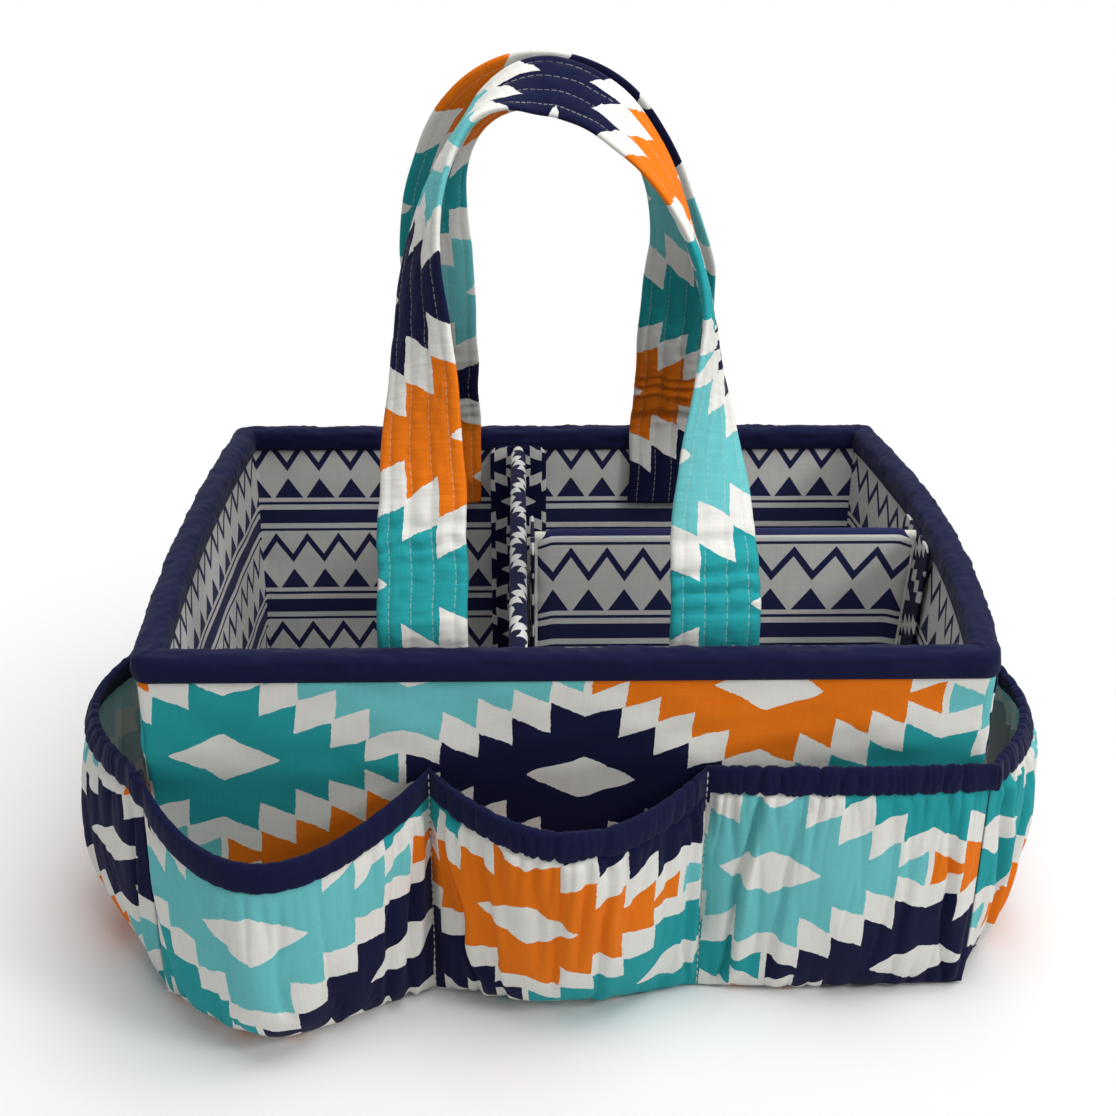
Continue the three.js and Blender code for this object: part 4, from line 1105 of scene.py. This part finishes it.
for name, side in SIDES.items():
    section_x, section_y, facing = casing_section()
    rings, lengths, start, bands = [], [], 0.0, []
    for number, (pocket_name, pocket) in enumerate(POCKETS[name].items()):
        ends = cell_of(side, number, len(POCKETS[name]))
        s = np.linspace(0, 1, MOUTH_POINTS)[min(number, 1):]
        edge, climb, out, near_seam = mouth_line(side, pocket, ends, s)
        along = run_length(edge[None], 1)[0]
        ruche = RUCHE.get(pocket_name, PLAIN_RUCHE)
        seed = 900 + 40 * number + 160 * side["turn"]
        grid_y, grid_along = np.broadcast_arrays(section_y[None], along[:, None])
        height_share = grid_y / TAPE_HEIGHT
        pucker = ruched(seed, grid_along, grid_y, PUCKER)
        pucker = pucker + 0.4 * ruched(seed + 5, grid_along, grid_y, FINE_PUCKER)
        fullest = np.sin(np.pi * np.clip(height_share, 0.04, 0.96)) ** 0.5
        swell = ruche * (1.7 * pucker + 0.35) * (facing > -0.3) * fullest
        lift = ruche * (1.3 * pucker * height_share**3 - 1.7 * pucker * (1 - height_share) ** 3)
        x = section_x[None] + swell * near_seam
        y = section_y[None] + lift * near_seam
        points = edge[:, None] + out[:, None] * x[..., None] + climb[:, None] * y[..., None]
        distance = -points[..., 1] - side["reach"]
        for end, at_end in ((-1, number == 0), (1, number == len(POCKETS[name]) - 1)):
            from_end = along if end < 0 else along[-1] - along
            mitre = at_end * smooth(1 - from_end / MITRE_RUN)[:, None]
            points[..., 0] += mitre * (end * (side["span"] / 2 + distance) - points[..., 0])
        rings.append(points)
        bands.append(edge[:, None] + out[:, None] * BAND[:, :1] + climb[:, None] * BAND[:, 1:])
        lengths.append(start + along)
        start += along[-1]
    rings, lengths = np.concatenate(rings), np.concatenate(lengths)
    girth = run_length(np.stack([section_x, section_y, 0 * section_x], -1)[None], 1)[0]
    girth = np.append(girth, girth[-1] + 1.2)
    uv = np.stack(np.broadcast_arrays(girth[None], lengths[:, None]), -1)
    casing = tube_piece(f"{name}_casing", turned(rings, side["turn"]), uv, [binding_navy], flip=True)
    put_on(casing, "caddy", "navy_tape", f"{name}_pocket_binding")
    bands = np.concatenate(bands)[2:-2]
    uv = np.stack(np.broadcast_arrays(np.arange(len(BAND) + 1.0)[None], lengths[2:-2, None]), -1)
    band = tube_piece(f"{name}_elastic_band", turned(bands, side["turn"]), uv, [elastic_white], flip=True)
    put_on(band, "caddy", "elastic", f"{name}_pocket_elastic")
    print(f"{casing.name}: {lengths[-1]:.0f} mm of tape along {len(POCKETS[name])} mouths")

# %% [markdown]
# ### Partition stitches
# A row of pale stitches runs from the top of the casing down to the floor between two pockets and makes two
# pockets of one strip of cloth. Each stitch is a small spindle that rises out of the cloth and dips back
# into it.


# %% Stitches between the pockets
def stitch_row(path, out, pitch=3.5, length=2.7, radius=0.26):
    """Spindles along a path: rings whose radius is the square root of a half sine, lifted by the same half
    sine."""
    run = run_length(path[None], 1)[0]
    share = np.linspace(0, 1, 7)
    at = np.arange(0.4, run[-1] - length, pitch)[:, None] + length * share
    centre = np.stack([np.interp(at, run, path[:, i]) for i in range(3)], -1)
    along = np.gradient(centre, axis=1)
    along /= np.linalg.norm(along, axis=-1, keepdims=True)
    arc = np.sin(np.pi * share)[:, None]
    angle = np.linspace(0, 2 * np.pi, 6, endpoint=False)
    wide = (radius * np.sqrt(arc) + 0.02)[..., None]
    across = np.cross(along, out)[:, :, None] * (np.cos(angle)[:, None] * wide)
    off = out * (np.sin(angle)[:, None] * wide + 0.3 * arc[..., None])
    return centre[:, :, None] + across + off


def stitch_piece(name, rings):
    """One mesh of many spindles; every spindle has the same faces, shifted by its own count of points."""
    count, rows, columns = rings.shape[:3]
    index = np.arange(rows * columns).reshape(rows, columns)
    quads = corners_of(np.concatenate([index, index[:, :1]], 1)).reshape(-1, 4)[:, ::-1]
    quads = (quads[None] + rows * columns * np.arange(count)[:, None, None]).reshape(-1, 4)
    ends = np.concatenate([index[:1], index[-1:, ::-1]])
    ends = (ends[None] + rows * columns * np.arange(count)[:, None, None]).reshape(-1, columns)
    points = rings.reshape(-1, 3)
    uv = np.concatenate([points[quads][..., [0, 2]].reshape(-1, 2), points[ends][..., [0, 2]].reshape(-1, 2)])
    return new_mesh(name, points, [quads, ends], {"Cloth": uv}, [thread_pale])


for name, side in SIDES.items():
    rows = []
    for number, pocket in list(enumerate(POCKETS[name].values()))[1:]:
        u = cell_of(side, number, len(POCKETS[name]))[0]
        v = np.linspace(1, 0.04, 40)
        off, z, _, _ = pocket_profile(pocket, 0 * v, v)
        off = np.concatenate([[CASING_OUT + off[0] + 0.1] * 2, off + POCKET_CLOTH + 0.2])
        z = np.concatenate([[MOUTH_HEIGHT - 1.0, MOUTH_HEIGHT - TAPE_HEIGHT + 1.0], z - 1.0])
        rows.append(stitch_row(on_side(side, 0 * z + u, off, z), np.array([0, -1.0, 0])))
    seam_thread = stitch_piece(f"{name}_partition_stitches", turned(np.concatenate(rows), side["turn"]))
    put_on(seam_thread, "caddy", "elastic")
    print(f"{seam_thread.name}: {sum(map(len, rows))} stitches")

# %% [markdown]
# ## Handles
# Each handle is one strap: sewn down inside the wall, folded over just above the rim, up one leg, over the
# arch and down the other. It is quilted with four rows of stitches, so its section is a row of low pillows.
# The strap twists on its way over, and the two straps lean on each other.

# %% Strap lines
TWISTS = {
    "front": dict(degrees=[0, 76, 30, 82, 0], shares=[0, 0.41, 0.5, 0.72, 1.0], shift=-ARCH_SHIFT, turn=0),
    "back": dict(degrees=[0, 50, 10, 40, 0], shares=[0.1, 0.33, 0.5, 0.64, 0.9], shift=ARCH_SHIFT, turn=2),
}
STITCH_ROWS = np.array([-13.05, -4.35, 4.35, 13.05])


def lean_for(twist):
    """Lean at which the top edge of a handle stops just short of the middle of the caddy, refined step by
    step."""
    lean, top = 0.0, np.radians(twist["degrees"][2])
    for _ in range(30):
        reach = STRAP_WIDTH / 2 * np.sin(lean + top) + STRAP / 2 * np.cos(lean + top)
        lean = np.arcsin((HINGE_Y - 0.4 - reach) / (LEG_RUN + ARCH_RISE))
    return lean


def strap_path(twist, step=1.6):
    """Middle line of a strap in its own plane, x across and s up from the fold: sewn end, leg, half-ellipse
    arch, leg and sewn end, with points an even step apart."""
    theta = np.linspace(np.pi, 0, 400)
    x = LEG_X * np.cos(theta) + twist["shift"] * np.sin(theta)
    s = LEG_RUN + ARCH_RISE * np.sin(theta)
    foot = SEWN_FOOT - HINGE_Z
    x = np.concatenate([[-LEG_X], x, [LEG_X]])
    s = np.concatenate([[foot], s, [foot]])
    run = np.concatenate([[0], np.cumsum(np.hypot(np.diff(x), np.diff(s)))])
    at = np.linspace(0, run[-1], int(run[-1] / step) + 1)
    return np.interp(at, run, x), np.interp(at, run, s), at


def twist_at(twist, q):
    """Twist in radians at a share q of the length between the folds, eased from one named angle to the
    next."""
    total = 0 * q
    for i in range(4):
        ease = smooth((q - twist["shares"][i]) / (twist["shares"][i + 1] - twist["shares"][i]))
        total = total + np.radians(twist["degrees"][i + 1] - twist["degrees"][i]) * ease
    return total


def strap_section(points=44):
    """Closed section: w across and h off the middle. The half thickness falls to the rounded edges and is
    drawn in at each row of stitches."""
    spread = -np.cos(np.linspace(0, np.pi, points // 2 + 1))
    w = STRAP_WIDTH / 2 * (0.55 * spread + 0.45 * np.linspace(-1, 1, points // 2 + 1))
    edge = np.sqrt(np.clip(1 - np.abs(2 * w / STRAP_WIDTH) ** 5, 0, 1))
    rows = np.exp(-(((w[:, None] - STITCH_ROWS) / 1.3) ** 2)).sum(1)
    h = STRAP / 2 * edge * (1 - 0.3 * rows)
    return np.concatenate([w, w[-2:0:-1]]), np.concatenate([h, -h[-2:0:-1]])


def strap_rings(twist, seed):
    """The section along the path, in a plane that bends from upright to the lean over the fold, with its
    face turned by the twist. Small puckers stand between the rows of stitches."""
    x, s, length = strap_path(twist)
    lean = lean_for(twist)
    table_s = np.linspace(SEWN_FOOT - HINGE_Z - 1, LEG_RUN + ARCH_RISE + 1, 3000)
    tilt = lean * smooth((table_s + 7) / 14)
    step = table_s[1] - table_s[0]
    inward, up = np.cumsum(np.sin(tilt)) * step, np.cumsum(np.cos(tilt)) * step
    up += SEWN_FOOT - HINGE_Z - np.interp(SEWN_FOOT - HINGE_Z, table_s, up)
    middle = np.stack([x, np.interp(s, table_s, inward) - HINGE_Y, HINGE_Z + np.interp(s, table_s, up)], -1)
    tilt_here = np.interp(s, table_s, tilt)
    outward = np.stack([0 * s, -np.cos(tilt_here), np.sin(tilt_here)], -1)
    along = np.gradient(middle, axis=0)
    along /= np.linalg.norm(along, axis=-1, keepdims=True)
    away = np.cross(along, outward)
    fold = HINGE_Z - SEWN_FOOT
    angle = twist_at(twist, (length - fold) / (length[-1] - 2 * fold))[:, None]
    face = outward * np.cos(angle) - away * np.sin(angle)
    across = np.cross(face, along)
    w, h = strap_section()
    grid_w, grid_l = np.broadcast_arrays(w[None], length[:, None])
    inside = 1 - np.abs(2 * grid_w / STRAP_WIDTH) ** 4
    pucker = 0.34 * ripples(seed, 3.5 * grid_w, grid_l, 6, 16, 10) * inside
    thick = h[None] + np.sign(h)[None] * pucker * np.clip(np.abs(h)[None], 0, 1.5) / 1.5
    wave = 0.5 * ripples(seed + 1, grid_l, 0 * grid_l, 25, 120)
    from_fold = np.minimum(grid_l, length[-1] - grid_l) - fold
    crowded = smooth((from_fold + 2) / 6) * (1 - smooth((from_fold - 26) / 34))
    slant = grid_l + 1.6 * ripples(seed + 2, grid_w, 0.3 * grid_l, 14, 60)
    thick = thick + 2.2 * crowded * (gathers(seed + 3, slant, 0 * grid_w, 8.0, 400) - 0.1)
    sideways = across[:, None] * (w[None] + wave)[..., None]
    points = middle[:, None] + sideways + face[:, None] * thick[..., None]
    return points, grid_w, grid_l


# %% Straps
STRAP_PRINT = {"front": dict(start=121, repeat=58, way=1), "back": dict(start=70, repeat=62, way=-1)}


def strap_print(name, grid_w, grid_l):
    """Place on the print: across the strap between two columns of diamonds, and along it in its own repeat.
    The front strap changes to the neighbouring columns over its top, where it is pieced."""
    values = STRAP_PRINT[name]
    pieced = smooth((grid_l - 205) / 60) - smooth((grid_l - 385) / 60) if name == "front" else 0 * grid_l
    along = values["way"] * (grid_l - values["start"]) * PRINT_UP / values["repeat"]
    return np.stack([grid_w + 1.25 * PRINT_ACROSS - pieced * PRINT_ACROSS / 2, along], -1)


for name, twist in TWISTS.items():
    points, grid_w, grid_l = strap_rings(twist, 300 + twist["turn"])
    layers = {"Cloth": strap_print(name, grid_w, grid_l), "Seam": np.stack([grid_w, grid_l], -1)}
    layers = {label: np.concatenate([grid, grid[:, :1]], 1) for label, grid in layers.items()}
    strap = tube_piece(f"{name}_strap", turned(points, twist["turn"]), layers, [strap_cotton], flip=True)
    nodes = [f"{name}_handle_{part}" for part in ("cover", "batting", "left_end", "right_end")]
    outside = -1 if name == "front" else 1
    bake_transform(strap)
    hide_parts(*nodes)
    print(f"{strap.name}: {grid_l.max():.0f} mm long, leans {np.degrees(lean_for(twist)):.1f} degrees")

# %% [markdown]
# ## Dividers
# A padded cross divider runs front to back, and a shorter one divides the right part. Each is a foam core
# in folded cloth, thin at its sewn ends, with a tab at each end that presses against a loop strip. They
# lift out, so each part rides on its own body.


# %% Padded divider covers
def divider_rings(length, width, foot, height, step=2.5):
    """Upright padded board along y from 0 to its length: a section with flat faces and a round top,
    narrowed to a seam at both ends and lowered a little at the end corners."""
    y = np.linspace(0, length, int(length / step) + 1)
    y = np.concatenate([[0.0, 0.6, 1.4], y[1:-1], [length - 1.4, length - 0.6, length]])
    from_end = np.minimum(y, length - y)
    pinch = 0.3 + 0.7 * np.sqrt(1 - (1 - np.clip(from_end / 7, 0, 1)) ** 2)
    lowered = 3.0 * (1 - smooth(from_end / 9))
    radius = width / 2
    arc = np.linspace(0, np.pi, 13)
    rise = np.linspace(0, 1, 30)[:-1]
    straight = height - radius
    side_x = np.concatenate([radius + 0 * rise, radius * np.cos(arc), -radius + 0 * rise])
    side_z = np.concatenate([rise * straight, straight + radius * np.sin(arc), rise[::-1] * straight])
    x = side_x[None] * pinch[:, None]
    z = foot + side_z[None] * (1 - lowered / height)[:, None]
    grid_y = np.broadcast_to(y[:, None], x.shape)
    run = run_length(np.stack([side_x, 0 * side_x, side_z], -1)[None], 1)[0]
    return np.stack([x, grid_y, z], -1), grid_y, run


DIVIDER, DIVIDER_FOOT, DIVIDER_HEIGHT = 7.9, 5.7, 149.3
CROSS_X, LONG_Y, TAB = -20.0, 6.0, 1.5
DIVIDER_NEAR = WALL + 3 * GAP + 2 * TAB
CROSS_LENGTH = DEPTH - 2 * DIVIDER_NEAR
LONG_X = CROSS_X + DIVIDER / 2 + 3 * GAP + 2 * TAB
LONG_LENGTH = WIDTH / 2 - DIVIDER_NEAR - LONG_X


def divider_uv(run, grid_y, across, up):
    """Cloth round the section and along the divider; the bottom closes with one more column."""
    run = np.append(run, run[-1] + DIVIDER)
    return np.stack(np.broadcast_arrays(grid_y[:, :1] + across, run[None] + up), -1)


points, grid_y, run = divider_rings(CROSS_LENGTH, DIVIDER, DIVIDER_FOOT, DIVIDER_HEIGHT)
uneven = 0.12 * ripples(401, grid_y, run[None] + 0 * grid_y, 20, 80)
points += np.sign(points[..., :1] * (1, 0, 0)) * uneven[..., None]
points = points + (CROSS_X, -CROSS_LENGTH / 2, 0)
cross = tube_piece("cross_divider_cloth", points, divider_uv(run, grid_y, 20, -100), [divider_cotton])
put_on(cross, "cross_divider", "lining_cotton", "cross_divider_cover")

points, grid_y, run = divider_rings(LONG_LENGTH, DIVIDER, DIVIDER_FOOT, DIVIDER_HEIGHT)
share = grid_y / LONG_LENGTH
level = points[..., 0]
bow = bow_at(SIDES["right"], LONG_Y + 0 * level, points[..., 2]) * smooth((share - 0.5) / 0.5)
points = np.stack([LONG_X + grid_y + bow, LONG_Y - level, points[..., 2]], -1)
uv = divider_uv(run, grid_y, 0, 4.0 - run[-1] / 2)
long_divider = tube_piece("long_divider_cloth", points, uv, [lining_cotton])
put_on(long_divider, "long_divider", "lining_cotton", "long_divider_cover")
print("dividers:", round(CROSS_LENGTH, 1), "and", round(LONG_LENGTH, 1), "mm long")

# %% [markdown]
# ### Tabs and loop strips
# The tabs and strips are thin tapes with rounded corners. A tape is a stack of flat rounded rings whose
# width falls off along a quarter circle at both ends. The ones on the bowed right wall follow its bow.


# %% Tabs and loop strips
LOOP_WIDTH, LOOP_CORNER, TAB_CORNER = 24, 2.0, 6.0
CROSS_TAB_WIDTH, LONG_TAB_WIDTH = 30, 48
STRIP_FOOT = DIVIDER_FOOT + 8
LOOP_TOP, TAB_TOP = STRIP_FOOT + 126, STRIP_FOOT + 140
LOOP_DEPTH, TAB_DEPTH = WALL + GAP + TAB / 2, WALL + 2 * GAP + 1.5 * TAB
LOOP_X = CROSS_X + DIVIDER / 2 + GAP + TAB / 2


def tape_rings(width, top, corner):
    """Rings of a flat tape: across, off its middle plane, and up. A ring is a thin rounded rectangle."""
    bend = np.linspace(0, np.pi / 2, 6)
    lower = STRIP_FOOT + corner * (1 - np.sin(bend[::-1]))
    upper = top - corner * (1 - np.sin(bend))
    z = np.concatenate([lower, np.linspace(STRIP_FOOT + corner, top - corner, 24)[1:-1], upper])
    short = np.minimum(z - STRIP_FOOT, top - z)
    narrowing = corner - np.sqrt(np.clip(corner**2 - (corner - np.minimum(short, corner)) ** 2, 0, None))
    half = width / 2 - 0.92 * narrowing
    angle = np.linspace(0, 2 * np.pi, 28, endpoint=False)
    across = half[:, None] * signed_power(np.cos(angle), 0.35)[None]
    off = TAB / 2 * signed_power(np.sin(angle), 0.5)[None] + 0 * across
    return across, off, np.broadcast_to(z[:, None], across.shape)


def tape_piece(name, body, node, place, rings, material):
    """One tape; place(across, off, z) puts its rings where they belong."""
    across, off, z = rings
    uv = np.stack([across, z], -1)
    uv = np.concatenate([uv, uv[:, :1]], 1)
    tape = tube_piece(name, place(across, off, z), uv, [material])
    put_on(tape, body, "hook_and_loop", node)


def on_wall(name, u, depth):
    """Place on the inside of a wall: u along it and a depth behind its outer face."""
    side = SIDES[name]
    return lambda across, off, z: turned(on_side(side, u + across, off - depth, z), side["turn"])


def on_cross_divider(x):
    """Place upright beside the cross divider's right face."""
    return lambda across, off, z: np.stack([x + off, LONG_Y + across, z], -1)


def loop_tape(carrier, body, place):
    """Loop strip on what carries it."""
    rings = tape_rings(LOOP_WIDTH, LOOP_TOP, LOOP_CORNER)
    tape_piece(f"{carrier}_loop_tape", body, f"{carrier}_loop_strip", place, rings, tab_white)


def tab_tape(body, end, place, width):
    """Tab at one end of a divider."""
    rings = tape_rings(width, TAB_TOP, TAB_CORNER)
    tape_piece(f"{body}_{end}_tape", body, f"{body}_{end}_tab", place, rings, divider_cotton)


for wall, u, body, end, width in (
    ("front", CROSS_X, "cross_divider", "front", CROSS_TAB_WIDTH),
    ("back", -CROSS_X, "cross_divider", "rear", CROSS_TAB_WIDTH),
    ("right", LONG_Y, "long_divider", "right", LONG_TAB_WIDTH),
):
    loop_tape(wall, "caddy", on_wall(wall, u, LOOP_DEPTH))
    tab_tape(body, end, on_wall(wall, u, TAB_DEPTH), width)
loop_tape("cross_divider", "cross_divider", on_cross_divider(LOOP_X))
tab_tape("long_divider", "left", on_cross_divider(LOOP_X + TAB + GAP), LONG_TAB_WIDTH)

# %% [markdown]
# ## Hidden nodes
# Foam and board stay inside, as CAD nodes. They still get finishes, read from Object coordinates, because a
# node that is carried over has no cloth UV.

# %% Finishes of the hidden nodes
inner_values = {
    "_foam": ("foam_grey", srgb(226, 223, 214), dict(roughness=0.95, threads=700.0)),
    "_core": ("core_foam", srgb(222, 219, 210), dict(roughness=0.95, threads=700.0)),
    "base_board": ("board_grey", srgb(176, 160, 136), dict(roughness=0.7, sheen=0.0)),
}
for ending, (name, colour, values) in inner_values.items():
    material = plain_cotton(name, colour, place="Object", **values)
    for node_name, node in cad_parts.items():
        if node_name.endswith(ending):
            node.data.materials.clear()
            node.data.materials.append(material)
print("hidden nodes finished")

# %% [markdown]
# ## Stage and light
# The photograph is cut out on white, so the floor is pale and fades to white with distance, only for what
# the camera sees. A broad lamp overhead, one on each side, one behind and an even pale world give soft
# light at about the level at which a colour looks as it was written.


# %% Floor
FLOOR_HALF, FLOOR_Z = 9, -0.0004
FADE_START, FADE_END = 0.2, 0.45


def seen_directly(tree):
    """1 for a ray by which the camera sees a thing, straight or through a mirror or glass, else 0."""
    rays = added(tree, "LightPath", {}).outputs
    camera, glossy, clear = [Value(rays[f"Is {kind} Ray"]) for kind in ("Camera", "Glossy", "Transmission")]
    return camera.math("MAXIMUM", glossy.math("MAXIMUM", clear))


def mixed_surface(tree, share, first, second, output):
    """Two shaders mixed by a share, put on the tree's output."""
    both = added(tree, "MixShader", {0: share, 1: Value(first.outputs[0]), 2: Value(second.outputs[0])})
    tree.links.new(both.outputs[0], tree.nodes[output].inputs["Surface"])


corners = [(x * FLOOR_HALF, y * FLOOR_HALF, FLOOR_Z) for x, y in ((-1, -1), (1, -1), (1, 1), (-1, 1))]
floor_mesh = bpy.data.meshes.new("floor")
floor_mesh.from_pydata(corners, [], [(0, 1, 2, 3)])
floor = bpy.data.objects.new("floor", floor_mesh)
bpy.context.scene.collection.objects.link(floor)
floor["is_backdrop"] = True
floor_white = bpy.data.materials.new("floor_white")
floor_white.use_nodes = True
tree = floor_white.node_tree
shader = tree.nodes["Principled BSDF"]
shader.inputs["Base Color"].default_value = (0.86, 0.86, 0.86, 1)
shader.inputs["Roughness"].default_value = 0.9
glow = added(tree, "Emission", {"Strength": 1.0})
place = Value(added(tree, "TexCoord", {}).outputs["Object"])
distance = Value(added(tree, "VectorMath", {0: place}, operation="LENGTH").outputs["Value"])
fade = {"Value": distance, "From Min": FADE_START, "From Max": FADE_END}
far = Value(added(tree, "MapRange", fade, interpolation_type="SMOOTHSTEP").outputs["Result"])
mixed_surface(tree, seen_directly(tree) * far, shader, glow, "Material Output")
floor_mesh.materials.append(floor_white)

# %% World and lamps
WORLD_LIGHT = 0.215
LOOK_AT = Vector((0, 0, 0.1))

world = bpy.data.worlds.new("studio")
bpy.context.scene.world = world
world.use_nodes = True
tree = world.node_tree
sky = tree.nodes["Background"]
sky.inputs["Color"].default_value = (1, 1, 1, 1)
sky.inputs["Strength"].default_value = WORLD_LIGHT
white = added(tree, "Background", {"Color": (1, 1, 1, 1), "Strength": 1.0})
mixed_surface(tree, seen_directly(tree), sky, white, "World Output")


def lamp(name, place, size, power):
    """Square soft lamp that looks at the middle of the caddy."""
    data = bpy.data.lights.new(name, "AREA")
    data.size, data.energy = size, power
    light = bpy.data.objects.new(name, data)
    light.location = place
    light.rotation_mode = "QUATERNION"
    light.rotation_quaternion = (LOOK_AT - Vector(place)).to_track_quat("-Z", "Y")
    bpy.context.scene.collection.objects.link(light)


lamp("overhead", (0.25, -0.2, 1.35), 1.0, 14.6)
lamp("from_right", (1.0, -0.75, 0.95), 0.3, 6.3)
lamp("from_left", (-1.6, -1.0, 0.9), 1.0, 2.5)
lamp("rear", (-0.2, 1.6, 1.2), 1.2, 10)
bpy.context.scene.view_settings.view_transform = "Standard"

# %% Sizes and finish
low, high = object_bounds()
print("visual box, metres:", [round(x, 4) for x in low], [round(x, 4) for x in high])
